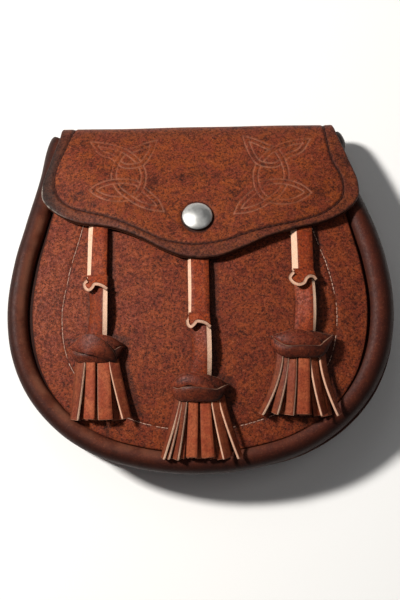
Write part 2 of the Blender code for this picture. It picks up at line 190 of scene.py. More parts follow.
print("a curve through three points:", along([(0, 0), (1, 1), (2, 0)], 5).round(2).tolist())


# %% [markdown]
# Places on the outline are told apart by their angle round the dome's middle, counted from the bottom, and
# left and right are mirror images. The dome falls from its middle to the rim, with the square of the share of
# the way that a place lies out towards the outline.

# %% The outline and the dome
def angle_of(across, up):
    return np.arctan2(np.abs(across), MIDDLE_UP - up)


ROW_ANGLES = np.array([angle_of(row.across, row.up) for row in OUTLINE])
ROW_RADII = np.array([math.hypot(row.across, row.up - MIDDLE_UP) for row in OUTLINE])
KNOTS = np.concatenate([-ROW_ANGLES[2:0:-1], ROW_ANGLES, 2 * math.pi - ROW_ANGLES[-2:-4:-1]])


def around(values, angle):
    values = np.asarray(values, float)
    return smooth_through(KNOTS, np.concatenate([values[2:0:-1], values, values[-2:-4:-1]]), np.abs(angle))


def column(name, angle):
    return around([getattr(row, name) for row in OUTLINE], angle)


def outline_at(angle, inset=0.0):
    """Plan points of the outline at these angles round the dome, moved in by inset along its own normal."""

    def on_outline(angle):
        radius = around(ROW_RADII, angle)
        return np.stack([radius * np.sin(angle), MIDDLE_UP - radius * np.cos(angle)], axis=-1)

    step = 1e-3
    tangent = on_outline(angle + step) - on_outline(angle - step)
    tangent /= np.linalg.norm(tangent, axis=-1, keepdims=True)
    inward = np.stack([-tangent[..., 1], tangent[..., 0]], axis=-1)
    return on_outline(angle) + inward * np.asarray(inset)[..., None]


def front_height(across, up):
    angle = angle_of(across, up)
    share = np.hypot(across, up - MIDDLE_UP) / around(ROW_RADII, angle)
    return APEX - (APEX - column("rim", angle)) * share**2


def on_front(across, up, lift):
    """Points that stand lift above the dome of the front."""
    return np.stack([across, up, front_height(across, up) + lift], axis=-1)


def normals_of(grid):
    return unit(np.cross(np.gradient(grid, axis=0), np.gradient(grid, axis=1)))


heights = front_height(0.0, np.array([MIDDLE_UP, SNAP_UP])).round(1)
print("the dome at its middle and at the press stud:", heights)


# %% [markdown]
# Each sheet of leather is a grid of points, stretched between four edge curves. One place needs more: at the
# right shoulder, the pouch is tucked in behind its flap.

# %% Grids
def patch(top, bottom, left, right):
    """A grid of plan points between four edge curves that share their corners, in rows from top to bottom."""
    u = np.linspace(0.0, 1.0, len(top))[None, :, None]
    v = np.linspace(0.0, 1.0, len(left))[:, None, None]
    across = (1 - v) * top[None] + v * bottom[None]
    down = (1 - u) * left[:, None] + u * right[:, None]
    corners = (1 - v) * ((1 - u) * top[0] + u * top[-1]) + v * ((1 - u) * bottom[0] + u * bottom[-1])
    return across + down - corners


def mirrored(points, shift=0.0):
    return np.asarray(points) * [-1, 1] + [shift, 0]


def with_height(plan, height):
    return np.concatenate([plan, np.asarray(height)[..., None]], axis=-1)


def tuck(plan):
    """How far the pouch's right shoulder is tucked in behind the flap, at plan points."""
    across, up = plan[..., 0], plan[..., 1]
    shoulder = ramp(across, TUCK_FROM[0], TUCK_FADE) * ramp(up, TUCK_FROM[1], TUCK_FADE)
    return TUCK * shoulder * ramp(up, FOLD_UP, -TUCK_END)


print("tucked in at the right shoulder:", round(float(tuck(np.array([70.0, 65.0]))), 2), "mm")


# %% [markdown]
# Two last steps carry every point from the pouch's own millimetres into the model's frame. The bow that the
# hand-cut pouch has to the left comes first, and then the offset that was named above.

# %% From pouch millimetres to the frame
def bowed(across, up):
    bow = np.where(up > BOW_UP, BOW_TOP, BOW_BOTTOM)
    return across - bow * ((up - BOW_UP) / BOW_REACH) ** 2


panel_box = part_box("front_panel")
cap_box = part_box("snap_cap")
OFFSET = np.array([
    (cap_box[0].x + cap_box[1].x) / 2 / MM - float(bowed(0.0, SNAP_UP)),
    panel_box[1].y / MM - PANEL_TOP,
    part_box("back_and_flap")[0].z / MM - BACK_UNDER,
])  # fmt: skip


def in_frame(points):
    points = np.asarray(points, float).reshape(-1, 3)
    across = bowed(points[:, 0], points[:, 1])
    return (np.stack([across, points[:, 1], points[:, 2]], axis=1) + OFFSET) * MM


print("pouch middle lies at", OFFSET.round(3), "mm in the frame")

# %% [markdown]
# ## Camera, light and floor
# The photograph looks almost straight down on the front, from a little below. A long lens keeps the outline
# true. The light comes from the upper left: the tassels throw their shade to the right, and the press stud is
# white on its left side. The camera comes first, so that every piece can be judged from the start.

# %% Camera
def add_object(name, data):
    made = bpy.data.objects.new(name, data)
    bpy.context.scene.collection.objects.link(made)
    return made


CAMERA_TARGET = np.array([0.0, 0.0, 28.0])
CAMERA_DISTANCE = 850.0
CAMERA_TILT = math.radians(11)
CAMERA_SIDE = math.radians(2.5)
CAMERA_ROLL = math.radians(0.4)
CAMERA_LENS = 103.4

back = Vector((
    math.sin(CAMERA_SIDE) * math.cos(CAMERA_TILT),
    -math.sin(CAMERA_TILT),
    math.cos(CAMERA_SIDE) * math.cos(CAMERA_TILT),
))  # fmt: skip
level = Vector((0, 1, 0)).cross(back).normalized()
turned = Matrix((level, back.cross(level), back)).transposed() @ Matrix.Rotation(-CAMERA_ROLL, 3, "Z")
camera = add_object("camera", bpy.data.cameras.new("camera"))
camera.data.lens = CAMERA_LENS
camera.data.clip_start = 0.01
camera.location = Vector((CAMERA_TARGET + OFFSET) * MM) + back * CAMERA_DISTANCE * MM
camera.rotation_euler = turned.to_euler()
bpy.context.scene.camera = camera
print("camera at", [round(x, 3) for x in camera.location])


# %% [markdown]
# One strong lamp makes nearly all the light, and two weak ones and a dim sky keep the shades from going
# black.

# %% Light and floor
Lamp = namedtuple("Lamp", "name place size power colour")
LAMPS = [
    Lamp("key", (-0.97, 0.42, 1.22), 0.18, 34.5, (1.0, 0.97, 0.93)),
    Lamp("top", (-0.14, 0.60, 0.95), 0.50, 0.6, (1.0, 1.0, 1.0)),
    Lamp("fill", (0.35, 0.00, 1.00), 0.50, 0.6, (1.0, 0.98, 0.96)),
]
LAMPS_AIM = Vector((0, 0, 0.02))
WORLD_COLOUR = (0.97, 0.98, 1.0, 1.0)
WORLD_STRENGTH = 0.08
FLOOR_HALF = 2

for row in LAMPS:
    light = bpy.data.lights.new(row.name, "AREA")
    light.size = row.size
    light.energy = row.power
    light.color = row.colour
    lamp = add_object(row.name, light)
    lamp.location = row.place
    lamp.rotation_euler = (Vector(row.place) - LAMPS_AIM).to_track_quat("Z", "Y").to_euler()

scene = bpy.context.scene
scene.world = bpy.data.worlds.new("studio")
scene.world.use_nodes = True
sky = scene.world.node_tree.nodes["Background"]
sky.inputs["Color"].default_value = WORLD_COLOUR
sky.inputs["Strength"].default_value = WORLD_STRENGTH
scene.view_settings.view_transform = "Standard"

floor_mesh = bpy.data.meshes.new("floor")
corners = [(across * FLOOR_HALF, up * FLOOR_HALF, 0) for across, up in ((-1, -1), (1, -1), (1, 1), (-1, 1))]
floor_mesh.from_pydata(corners, [], [(0, 1, 2, 3)])
floor = add_object("floor", floor_mesh)

# %% [markdown]
# ## Writing materials as sums
# A finish is mostly arithmetic on numbers that vary over the surface: a mask times a strength, one minus a
# mask. So a node socket is wrapped in a small class whose operators add the Math nodes. Colours go through
# Mix nodes, because a Math node would turn them grey. Every other node comes from one method.

# %% Shader arithmetic
def arithmetic(operation, swapped=False):
    """A method of Varying that adds one Math node. swapped puts the other number first."""

    def method(self, other):
        pair = (other, self) if swapped else (self, other)
        return self.finish.node("ShaderNodeMath", {"operation": operation}, dict(enumerate(pair)))

    return method


class Varying:
    """A number, colour or vector that varies over a surface."""

    __add__ = arithmetic("ADD")
    __radd__ = arithmetic("ADD", swapped=True)
    __sub__ = arithmetic("SUBTRACT")
    __rsub__ = arithmetic("SUBTRACT", swapped=True)
    __mul__ = arithmetic("MULTIPLY")
    __rmul__ = arithmetic("MULTIPLY", swapped=True)

    def __init__(self, finish, socket):
        self.finish = finish
        self.socket = socket

    def clamped(self):
        return self.finish.node("ShaderNodeClamp", {}, {"Value": self})

    def between(self, low, high):
        """0 below low, 1 above high, and smooth between them."""
        settings = {"interpolation_type": "SMOOTHSTEP"}
        sockets = {"Value": self, "From Min": low, "From Max": high}
        return self.finish.node("ShaderNodeMapRange", settings, sockets)


class Finish:
    """One material: a Principled shader and the nodes that feed it."""

    def __init__(self, name):
        self.material = bpy.data.materials.new(name)
        self.material.use_nodes = True
        self.tree = self.material.node_tree
        self.shader = self.tree.nodes["Principled BSDF"]

    def set(self, socket, value):
        if isinstance(value, Varying):
            self.tree.links.new(value.socket, socket)
        else:
            socket.default_value = value

    def node(self, kind, settings, sockets, output=0):
        made = self.tree.nodes.new(kind)
        for setting, value in settings.items():
            setattr(made, setting, value)
        for name, value in sockets.items():
            self.set(made.inputs[name], value)
        return Varying(self, made.outputs[output])

    def feed(self, **sockets):
        for name, value in sockets.items():
            self.set(self.shader.inputs[name.replace("_", " ").title().replace("Ior", "IOR")], value)

    def millimetres(self, stretch=(1, 1, 1)):
        place = self.node("ShaderNodeTexCoord", {}, {}, "Object")
        scale = [1000 * share for share in stretch]
        return self.node("ShaderNodeVectorMath", {"operation": "MULTIPLY"}, {0: place, 1: scale})

    def noise(self, where, size, detail=2.0, roughness=0.5):
        """Cloudy noise from 0 to 1, whose blobs are about size millimetres across."""
        sockets = {"Vector": where, "Scale": 1 / size, "Detail": detail, "Roughness": roughness}
        return self.node("ShaderNodeTexNoise", {}, sockets)

    def cells(self, where, size):
        """Distance to the middle of the nearest of many small cells."""
        sockets = {"Vector": where, "Scale": 1 / size}
        return self.node("ShaderNodeTexVoronoi", {"feature": "SMOOTH_F1"}, sockets)

    def mark(self, name):
        """A number that the mesh carries at each of its points."""
        return self.node("ShaderNodeAttribute", {"attribute_name": name}, {}, "Fac")

    def mix(self, share, low, high):
        """The colour low where share is 0, and high where it is 1."""
        as_colour = [value if isinstance(value, Varying) else (*value, 1.0) for value in (low, high)]
        settings = {"data_type": "RGBA"}
        return self.node("ShaderNodeMix", settings, {0: share, 6: as_colour[0], 7: as_colour[1]}, 2)

    def bump(self, height, depth):
        """Relief too fine for the mesh. depth is in millimetres."""
        sockets = {"Height": height, "Distance": depth * MM, "Strength": 1.0}
        return self.node("ShaderNodeBump", {}, sockets)


print("methods of a varying number:", [name for name, method in vars(Varying).items() if callable(method)])


# %% [markdown]
# The floor is plain and pale, so that it doesn't compete with the leather. It still gets a trace of
# unevenness in its gloss, as painted board has.

# %% Floor finish
board = Finish("pale_board")
grain = board.noise(board.millimetres(), 30.0)
board.feed(base_color=(0.93, 0.93, 0.92, 1.0), roughness=0.75 + grain * 0.1)
floor_mesh.materials.append(board.material)
print("floor finish:", len(board.tree.nodes), "nodes")

# %% [markdown]
# ## One recipe for all the leather
# Every brown here is the same kind of material in another dye: a colour, darker clouds a few millimetres
# across, fine dark specks where the dye sank deeper, and a pebbled grain. What differs from place to place is
# carried by the meshes as marks, each a number from 0 to 1 at every point. One darkens a burnished edge and
# also carries painted shade, raw pales a cut edge, one carries painted shade in pressed lines and hollows,
# line pales a worn line and also carries a painted highlight on the roll, one pales what has rubbed and also
# carries a painted highlight on an edge, and under shows the flesh side. A mark that a mesh lacks reads 0.

# %% Colours and dyes
MARKS = ("line", "groove", "burnish", "worn", "raw", "under")
# Some colours below paint light too: the pale line colour is also a painted highlight on the roll, the pale
# worn colour also a painted highlight on an edge, and the darkest brown also painted shade.
FLECK = (0.42, 0.13, 0.06)
LINE_AND_SHEEN = (0.40, 0.17, 0.10)
WORN_AND_GLINT = (0.50, 0.42, 0.36)
CREAM = (0.84, 0.53, 0.38)
CUT_SHADE = (0.58, 0.36, 0.22)
CUT_STAIN = (0.42, 0.20, 0.11)
SUEDE = (0.060, 0.024, 0.014)
SUEDE_PALE = (0.10, 0.042, 0.024)
SHADE_AND_BURNISH = (0.013, 0.006, 0.005)

# warm and red are the dye's two browns, dark is where it sank in, and the last three are shares of the usual
Dye = namedtuple("Dye", "warm red dark gloss grain cloudy specked", defaults=(1.0, 1.0, 1.0))
DYES = {
    "flap_leather": Dye((0.25, 0.051, 0.012), (0.2, 0.036, 0.015), (0.04, 0.009, 0.005), 0.52),
    "panel_leather": Dye((0.25, 0.048, 0.014), (0.19, 0.033, 0.014), (0.034, 0.008, 0.005), 0.54, cloudy=0.7),
    "thong_leather": Dye((0.33, 0.056, 0.013), (0.25, 0.036, 0.011), (0.08, 0.014, 0.006), 0.46, cloudy=0.5),
    "fringe_leather": Dye(
        (0.44, 0.108, 0.042), (0.34, 0.064, 0.026), (0.12, 0.022, 0.01), 0.5, cloudy=0.6, specked=0.6,
    ),
    "roll_leather": Dye(
        (0.09, 0.017, 0.007), (0.066, 0.012, 0.006), (0.023, 0.006, 0.004), 0.52, grain=0.2, specked=0.4,
    ),
    "head_leather": Dye(
        (0.205, 0.04, 0.017), (0.14, 0.025, 0.012), (0.026, 0.006, 0.004), 0.42, 0.5, 1.2, 0.8,
    ),
}  # fmt: skip
print("dyes:", sorted(DYES))

# %% [markdown]
# The recipe itself. The dye's two browns drift into each other, and flecks, clouds and specks go over them.
# Then come the marks in turn, each covering what lies under it, with the pale cut last.

# %% Leather
def leather(name, dye):
    finish = Finish(name)
    where = finish.millimetres()
    hue = finish.noise(where, 7.0, 3.0, 0.6).between(0.38, 0.62)
    clouds = finish.noise(where, 9.0, 5.0, 0.65).between(0.52, 0.70)
    mottle = finish.noise(where, 1.5, 4.0, 0.8).between(0.44, 0.60)
    freckle = finish.noise(where, 0.8, 2.0, 0.8).between(0.50, 0.62)
    flecks = finish.noise(finish.millimetres((1, 1, 1.3)), 1.0, 3.0, 0.8).between(0.54, 0.68)
    brown = finish.mix(hue, dye.warm, dye.red)
    brown = finish.mix(flecks * 0.55 * dye.specked, brown, FLECK)
    sunk = (mottle * 0.60 + freckle * 0.55) * dye.specked + clouds * dye.cloudy * 0.5
    brown = finish.mix(sunk.clamped(), brown, dye.dark)

    line, groove, burnish, worn, raw, under = (finish.mark(mark) for mark in MARKS)
    crisp = finish.noise(where, 16.0, 3.0, 0.6).between(0.38, 0.60)
    # The marks paint light and shade as well as the leather's own lines, wear and cuts: painted shade in
    # hollows and on sides turned from the lamp, and painted highlights on the roll's crest and on an edge.
    brown = finish.mix(line * (0.16 + crisp * 0.42), brown, LINE_AND_SHEEN)
    brown = finish.mix(groove * 0.85, brown, SHADE_AND_BURNISH)
    brown = finish.mix(burnish * 0.85, brown, SHADE_AND_BURNISH)
    brown = finish.mix(worn * (1 - mottle * 0.8), brown, WORN_AND_GLINT)
    fibres = finish.noise(finish.millimetres((1, 1, 0.4)), 0.35, 3.0, 0.7)
    brown = finish.mix(under, brown, finish.mix(fibres.between(0.3, 0.7), SUEDE, SUEDE_PALE))
    cut = finish.mix(fibres.between(0.30, 0.60), CUT_SHADE, CREAM)
    cut = finish.mix(finish.noise(where, 3.0, 1.0).between(0.55, 0.78) * 0.35, cut, CUT_STAIN)
    brown = finish.mix(raw, brown, cut)

    pebbles = finish.cells(where, 0.9)
    fine = finish.noise(where, 0.28, 2.0, 0.6)
    height = pebbles * 0.55 * dye.grain + mottle * -0.35 * dye.grain + fine * 0.25 + clouds * -0.2
    finish.feed(
        base_color=brown,
        roughness=(dye.gloss + mottle * 0.12 + raw * 0.3 + under * 0.3 - burnish * 0.1).clamped(),
        specular_ior_level=0.12,
        normal=finish.bump(height, 0.12),
    )
    return finish.material


hides = {name: leather(name, dye) for name, dye in DYES.items()}
print("hides:", sorted(hides))

# %% [markdown]
# Thread and metal need less: two colours that drift into each other, and a trace of relief.

# %% Thread and nickel
def plain_finish(name, colour, other, size, roughness, metallic=0.0, depth=0.03):
    """A finish whose colour and gloss drift a little, for thread and metal."""
    finish = Finish(name)
    where = finish.millimetres()
    drift = finish.noise(where, size, 3.0, 0.6)
    drifting = finish.mix(drift.between(0.3, 0.7), colour, other)
    finish.feed(
        # painted shade where a mesh carries the mark: on the cap's rim
        base_color=finish.mix(finish.mark("groove") * 0.9, drifting, SHADE_AND_BURNISH),
        roughness=roughness + drift * 0.15,
        metallic=metallic,
        specular_ior_level=0.15,
        normal=finish.bump(finish.noise(where, size / 3, 2.0), depth),
    )
    return finish.material


dark_thread = plain_finish("dark_thread", (0.026, 0.007, 0.005), (0.060, 0.015, 0.009), 1.2, 0.6, depth=0.15)
pale_thread = plain_finish("pale_thread", (0.36, 0.18, 0.12), (0.62, 0.40, 0.31), 1.6, 0.6, depth=0.15)
nickel = plain_finish("nickel", (0.62, 0.62, 0.60), (0.74, 0.74, 0.72), 2.5, 0.36, metallic=1.0, depth=0.01)
print("thread and metal:", [material.name for material in (dark_thread, pale_thread, nickel)])

# %% [markdown]
# ## Many shapes, one mesh
# A tassel has about ten cut strips, and the flap's hem about eighty stitches. Each is a small closed shape of
# its own, but they are gathered in one heap and become one mesh, which keeps the object list short and the
# file quick.

# %% The heap
def grid_faces(rows, columns, closed=False):
    """Quads over a grid of points; closed joins the last column to the first."""
    index = np.arange(rows * columns).reshape(rows, columns)
    if closed:
        index = np.concatenate([index, index[:, :1]], axis=1)
    corners = (index[:-1, :-1], index[1:, :-1], index[1:, 1:], index[:-1, 1:])
    return np.stack([corner.ravel() for corner in corners], axis=1).tolist()


class Heap:
    """The points, faces and marks of many small shapes that become one mesh."""

    def __init__(self):
        self.points = []
        self.faces = []
        self.marks = {name: [] for name in MARKS}
        self.count = 0

    def add(self, points, faces, **marks):
        points = np.asarray(points, float).reshape(-1, 3)
        self.faces += [[corner + self.count for corner in face] for face in faces]
        self.points.append(points)
        self.count += len(points)
        for name in MARKS:
            given = np.asarray(marks.get(name, 0.0), float).ravel()
            self.marks[name].append(np.broadcast_to(given, len(points)) if given.size == 1 else given)

    def tube(self, rings, **marks):
        """A closed body through rings of the same number of points, with a flat face at each end."""
        rings = np.asarray(rings, float)
        count, sides = rings.shape[:2]
        ends = [list(range(sides)), list(range((count - 1) * sides, count * sides))]
        self.add(rings, grid_faces(count, sides, closed=True) + ends, **marks)

    def make(self, name, material, slot, *nodes, sharp=50.0):
        """Makes the mesh with its material and hides the packed pieces it replaces. slot is not used."""
        mesh = bpy.data.meshes.new(name)
        mesh.from_pydata(in_frame(np.concatenate(self.points)).tolist(), [], self.faces)
        tidy = bmesh.new()
        tidy.from_mesh(mesh)
        bmesh.ops.recalc_face_normals(tidy, faces=tidy.faces)
        tidy.to_mesh(mesh)
        tidy.free()
        for mark in MARKS:
            values = np.concatenate(self.marks[mark])
            if values.any():
                attribute = mesh.attributes.new(mark, "FLOAT", "POINT")
                attribute.data.foreach_set("value", values.astype(np.float32))
        mesh.materials.append(material)
        mesh.shade_smooth()
        mesh.set_sharp_from_angle(angle=math.radians(sharp))
        piece = add_object(name, mesh)
        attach(piece, "root")
        if nodes:
            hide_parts(*nodes)
        triangles = sum(len(face) - 2 for face in self.faces)
        print(f"{name}: {len(mesh.vertices)} points, {triangles} triangles")


print("quads in a grid of 3 by 4 points:", len(grid_faces(3, 4)))


# %% [markdown]
# ## A thick sheet of leather
# Leather shows its thickness at every cut edge, so a sheet isn't a bare surface. This function takes the
# middle of the sheet as a fine grid and makes the outer face from it with all its relief, rounds it over
# towards the cut, adds the cut itself, and closes it behind with a face of much larger cells, because nobody
# sees relief there. Solidify would do the same for a plain sheet, but it would spend half the points on the
# hidden side.

# %% The hidden side
def coarse_faces(rows, columns, coarse, number):
    """Large cells over a grid, with every point of its rim kept. number gives each place's point."""

    def steps(first, last, on_rim):
        size = 1 if on_rim else coarse
        return range(first, last, size if last > first else -size)

    faces = []
    for i in range(0, rows - 1, coarse):
        for j in range(0, columns - 1, coarse):
            low = i + coarse
            last = j + coarse
            cell = [(i, k) for k in steps(j, last, i == 0)]
            cell += [(k, last) for k in steps(i, low, last == columns - 1)]
            cell += [(low, k) for k in steps(last, j, low == rows - 1)]
            cell += [(k, j) for k in steps(low, i, j == 0)]
            faces.append([number[place] for place in cell])
    return faces


numbers = np.arange(13 * 7).reshape(13, 7)
print("large cells behind 13 by 7 points:", len(coarse_faces(13, 7, 6, numbers)))

# %% [markdown]
# The sheet needs to know how far inside its rim each point lies. That decides where the face rounds over,
# where relief fades out, and how far the rubbing of the edge reaches in.

# %% Thick sheets
CUT_BURNISH = 1.1  # the rubbed edge reaches this far in
RELIEF_IN = 1.5  # relief fades out over this width at the edge


def tree_of(points):
    tree = kdtree.KDTree(len(points))
    for place, point in enumerate(points):
        tree.insert(point, place)
    tree.balance()
    return tree


def thick_sheet(heap, middle, thickness, relief=0.0, coarse=6, edge=0.7, cut=0.35, **marks):
    """Adds a sheet round the grid middle. coarse is the size of the cells behind, and divides both sides of
    the grid. edge is the radius at the cut, and cut says how raw the cut looks. relief and the marks have a
    value for each point of the grid."""
    rows, columns = middle.shape[:2]
    normal = normals_of(middle)
    index = np.arange(rows * columns).reshape(rows, columns)
    loop = np.concatenate([index[0, :-1], index[:-1, -1], index[-1, :0:-1], index[:0:-1, 0]])
    flat = middle.reshape(-1, 3)
    tree = tree_of(flat[loop])
    inside = np.array([tree.find(point)[2] for point in flat]).reshape(rows, columns)

    # The outer face, rounded over towards the cut
    short = np.clip(edge - inside, 0.0, edge)
    drop = edge - np.sqrt(edge**2 - short**2)
    relief = np.broadcast_to(np.ravel(relief), rows * columns).reshape(rows, columns)
    raised = relief * ramp(inside, 0, RELIEF_IN)
    outer = middle + normal * (thickness / 2 - drop + raised)[..., None]
    points = [outer.reshape(-1, 3)]

    # The cut, in three rings, and the face behind: the rim's own points and every coarse-th one inside it
    rim = flat[loop]
    rim_normal = normal.reshape(-1, 3)[loop]
    outward = unit(np.cross(np.roll(rim, -1, axis=0) - np.roll(rim, 1, axis=0), rim_normal))
    walls = [(thickness / 2 - edge - 0.15, 0.10), (-thickness * 0.1, 0.14), (-thickness / 2 + 0.3, 0.08)]
    for height, bulge in walls:
        points.append(rim + rim_normal * height + outward * bulge)
    start = rows * columns + len(walls) * len(loop)
    back_at = {divmod(int(corner), columns): start + place for place, corner in enumerate(loop)}
    behind = [rim - rim_normal * thickness / 2 - outward * 0.12]
    for place in [(i, j) for i in range(0, rows, coarse) for j in range(0, columns, coarse)]:
        if place not in back_at:
            back_at[place] = start + len(back_at)
            behind.append((middle[place] - normal[place] * thickness / 2)[None])

    on_sheet = {name: np.reshape(values, -1) for name, values in marks.items()}
    darkened = (bell(inside, CUT_BURNISH) * (1 - cut)).ravel()
    on_sheet["burnish"] = np.maximum(on_sheet.get("burnish", 0.0), darkened)
    on_cut = {"burnish": 1 - cut, "raw": np.repeat([cut, cut, cut * 0.8], len(loop))}
    on_back = {"under": 1.0}
    parts = ((on_sheet, rows * columns), (on_cut, len(walls) * len(loop)), (on_back, len(back_at)))
    values = {}
    for name in MARKS:
        values[name] = np.concatenate([np.broadcast_to(part.get(name, 0.0), size) for part, size in parts])

    faces = grid_faces(rows, columns)
    rings = [loop.tolist()]
    for first in range(rows * columns, start + 1, len(loop)):
        rings.append(list(range(first, first + len(loop))))
    for one, two in zip(rings, rings[1:]):
        for k in range(len(loop)):
            after = (k + 1) % len(loop)
            faces.append([one[k], one[after], two[after], two[k]])

    faces += coarse_faces(rows, columns, coarse, back_at)
    heap.add(np.concatenate(points + behind), faces, **values)


trial = Heap()
thick_sheet(trial, np.stack(np.meshgrid(np.arange(7.0), np.arange(7.0), [0.0]), axis=-1)[:, :, 0], PANEL)
print("a trial sheet of 7 by 7 points:", trial.count, "points and", len(trial.faces), "faces")

# %% [markdown]
# ## Straps
# The thongs, the tassels' strips and the belt loops are all cut with one pull of a knife from the same hide,
# so one function makes them: a path, the way its top faces along it, a width, and how far each cut edge
# slants. The slant matters. Seen from above, an upright cut would hide behind the top, and it is the slanted
# cut that shows as the cream line beside each strap in the photograph.

# %% Straps
CORNER = 0.22
UNDERSIDE = [0, 1, 2]  # these number the points of the section, which starts under the strap at its left
RIGHT_CUT = slice(3, 6)
LEFT_CUT = slice(11, 14)
TOP_CORNERS = [6, 10]
DULL_CUT = 0.8


def strap(
    heap, path, facing, half, thick, slant_left=0, slant_right=0, crown=0, raw=(1.0, 1.0), end_raw=1.0, dark=0
):
    """Adds a strap along path. half, the slants, dark and the two shares in raw may change along it."""
    path = np.asarray(path, float)
    count = len(path)
    tangent = unit(np.gradient(path, axis=0))
    side = unit(np.cross(np.broadcast_to(facing, path.shape), tangent))
    top = np.cross(tangent, side)
    sizes = (half, slant_left, slant_right)
    half, left, right = (np.broadcast_to(size, count).astype(float) for size in sizes)
    level = thick / 2
    zero = np.zeros(count)
    section = [
        (-half + CORNER, -level, 0.0), (zero, -level, 0.0), (half - CORNER, -level, 0.0),
        (half, -level + CORNER, raw[1]), (half - right / 2, 0.0, raw[1]),
        (half - right, level - CORNER, raw[1]), (half - right - CORNER, level, 0.0),
        (half * 0.45 - right * 0.4, level + crown * 0.8, 0.0),
        (zero, level + crown, 0.0), (-half * 0.45 + left * 0.4, level + crown * 0.8, 0.0),
        (-half + left + CORNER, level, 0.0), (-half + left, level - CORNER, raw[0]),
        (-half + left / 2, 0.0, raw[0]), (-half, -level + CORNER, raw[0]),
    ]  # fmt: skip
    across, height, cuts = (np.stack([point[k] + zero for point in section], axis=1) for k in range(3))
    rings = path[:, None] + side[:, None] * across[..., None] + top[:, None] * height[..., None]
    burnish = np.broadcast_to(np.reshape(dark, (-1, 1)), across.shape).astype(float)
    burnish[:, TOP_CORNERS] += 0.25
    under = np.zeros(across.shape)
    under[:, UNDERSIDE] = 1.0
    for cut in (RIGHT_CUT, LEFT_CUT):
        burnish[:, cut] = (1 - cuts[:, cut]) * DULL_CUT
    caps = []
    for at, way in ((0, -1), (-1, 1)):
        centre = rings[at].mean(axis=0)
        caps.append(centre + (rings[at] - centre) * 0.93 + tangent[at] * CORNER * way)
    rings = np.concatenate([caps[0][None], rings, caps[1][None]])
    cuts = np.pad(cuts, ((1, 1), (0, 0)), constant_values=end_raw)
    burnish = np.pad(burnish, ((1, 1), (0, 0)), constant_values=(1 - end_raw) * DULL_CUT)
    under = np.pad(under, ((1, 1), (0, 0)))
    heap.tube(rings, raw=cuts.ravel(), burnish=burnish.ravel(), under=under.ravel())


trial = Heap()
strap(trial, [(0, 0, 0), (0, 10, 0), (0, 20, 0)], (0, 0, 1), 5.0, STRAP)
print("a trial strap through 3 points:", trial.count, "points")


# %% [markdown]
# A stitch is a short closed tube that dips into the leather at both ends. Its place and way along the line
# are a little unsteady, as in sewing by hand.

# %% Stitches
def stitches(heap, line, surface, spacing, length, thick, sunk, skip=0.0, wobble=0.0, seed=1):
    """Adds short runs of thread along a plan line. surface gives the height of what they are sewn in."""
    chance = np.random.default_rng(seed)
    reach = lengths_along(line)
    turn = np.linspace(0, 2 * math.pi, 7)[:-1]
    for number in range(int(reach[-1] / spacing)):
        if chance.random() < skip:
            continue
        middle = (number + 0.5) * spacing + chance.normal() * wobble
        share = np.linspace(-0.5, 0.5, 7)
        here = smooth_through(reach, line, np.clip(middle + share * length, 0, reach[-1]))
        here = here + chance.normal(size=2) * wobble * 0.4
        height = surface(here[:, 0], here[:, 1])
        body = np.sqrt(np.clip(1 - (2 * share) ** 2, 0.06, 1))
        path = with_height(here, height - sunk - thick * (1 - body) * 1.4)
        along_it = unit(np.gradient(path, axis=0))
        across = unit(np.cross(along_it, (0, 0, 1)))
        over = np.cross(across, along_it)
        radius = (thick * (0.55 + 0.45 * body))[:, None, None]
        ring = across[:, None] * np.cos(turn)[None, :, None] + over[:, None] * np.sin(turn)[None, :, None]
        heap.tube(path[:, None] + ring * radius)


THREAD_THICK = 0.32
trial = Heap()
line = np.linspace((0, 0), (0, 30), 9)
stitches(trial, line, front_height, spacing=3.0, length=2.5, thick=0.3, sunk=0.3)
print("ten trial stitches:", trial.count, "points")


# %% [markdown]
# ## Back, fold and flap
# These are one piece of hide on the real pouch: it runs up the back, folds over the mouth and hangs down the
# front to a shallow V. So it is one grid here too, made in three stretches, one after another. Rows run from
# the bottom of the back to the tip of the flap, and columns from left to right. The knot, the sewn groove
# round the hem and the dish that the press stud's cap has pressed are relief in the grid itself, because a
# bump would look flat where the light rakes along them.

# %% The flap's outline and height
Edge = namedtuple("Edge", "across up")
FLAP_SIDE = [Edge(69.5, 85.7), Edge(74.6, 70.5), Edge(78.6, 57.5), Edge(78.4, 51.0), Edge(75.3, 46.2)]
FLAP_LOWER = [
    Edge(75.3, 46.2), Edge(69.8, 41.8), Edge(60.5, 37.2), Edge(46.7, 33.8), Edge(32.0, 29.0),
    Edge(19.0, 23.0), Edge(9.0, 19.0), Edge(0.0, 17.8),
]  # fmt: skip
Sag = namedtuple("Sag", "across drop")
FLAP_SAG = [
    Sag(-60, 0.0), Sag(-40, -0.9), Sag(-18, 0.7), Sag(0, 1.2), Sag(25, 2.1), Sag(50, 1.8), Sag(78, 1.2),
]  # fmt: skip
FLAP_MIDDLE = (0.0, 60.0)  # a point well inside the sewn line, to tell inside from outside
FOLD_CENTRE = BACK_MID + FOLD_RADIUS
FOLD_END_UP = FOLD_UP + FOLD_RADIUS * math.sin(FOLD_TURN)
FOLD_END_HEIGHT = FOLD_CENTRE - FOLD_RADIUS * math.cos(FOLD_TURN)


def flap_height(across, up):
    lift = FLAP_LIFT + PANEL / 2
    over = FOLD_END_HEIGHT - (front_height(across, np.full_like(up, FOLD_END_UP)) + lift)
    return front_height(across, up) + lift + over * np.exp((up - FOLD_END_UP) / SETTLE)


def flap_top(across, up):
    return flap_height(across, up) + PANEL / 2 + 0.15


def distance_to(line, plan, reach=4.0):
    """How far each plan point is from a finely drawn line, up to reach, and the share of the line before the
    nearest place on it."""
    tree = tree_of(with_height(line, np.zeros(len(line))))
    distance = np.full(len(plan), reach)
    share = np.zeros(len(plan))
    near = np.all((plan > line.min(axis=0) - reach) & (plan < line.max(axis=0) + reach), axis=1)
    for k in np.flatnonzero(near):
        found = tree.find((*plan[k], 0.0))
        distance[k] = min(found[2], reach)
        share[k] = found[1] / (len(line) - 1)
    return distance, share


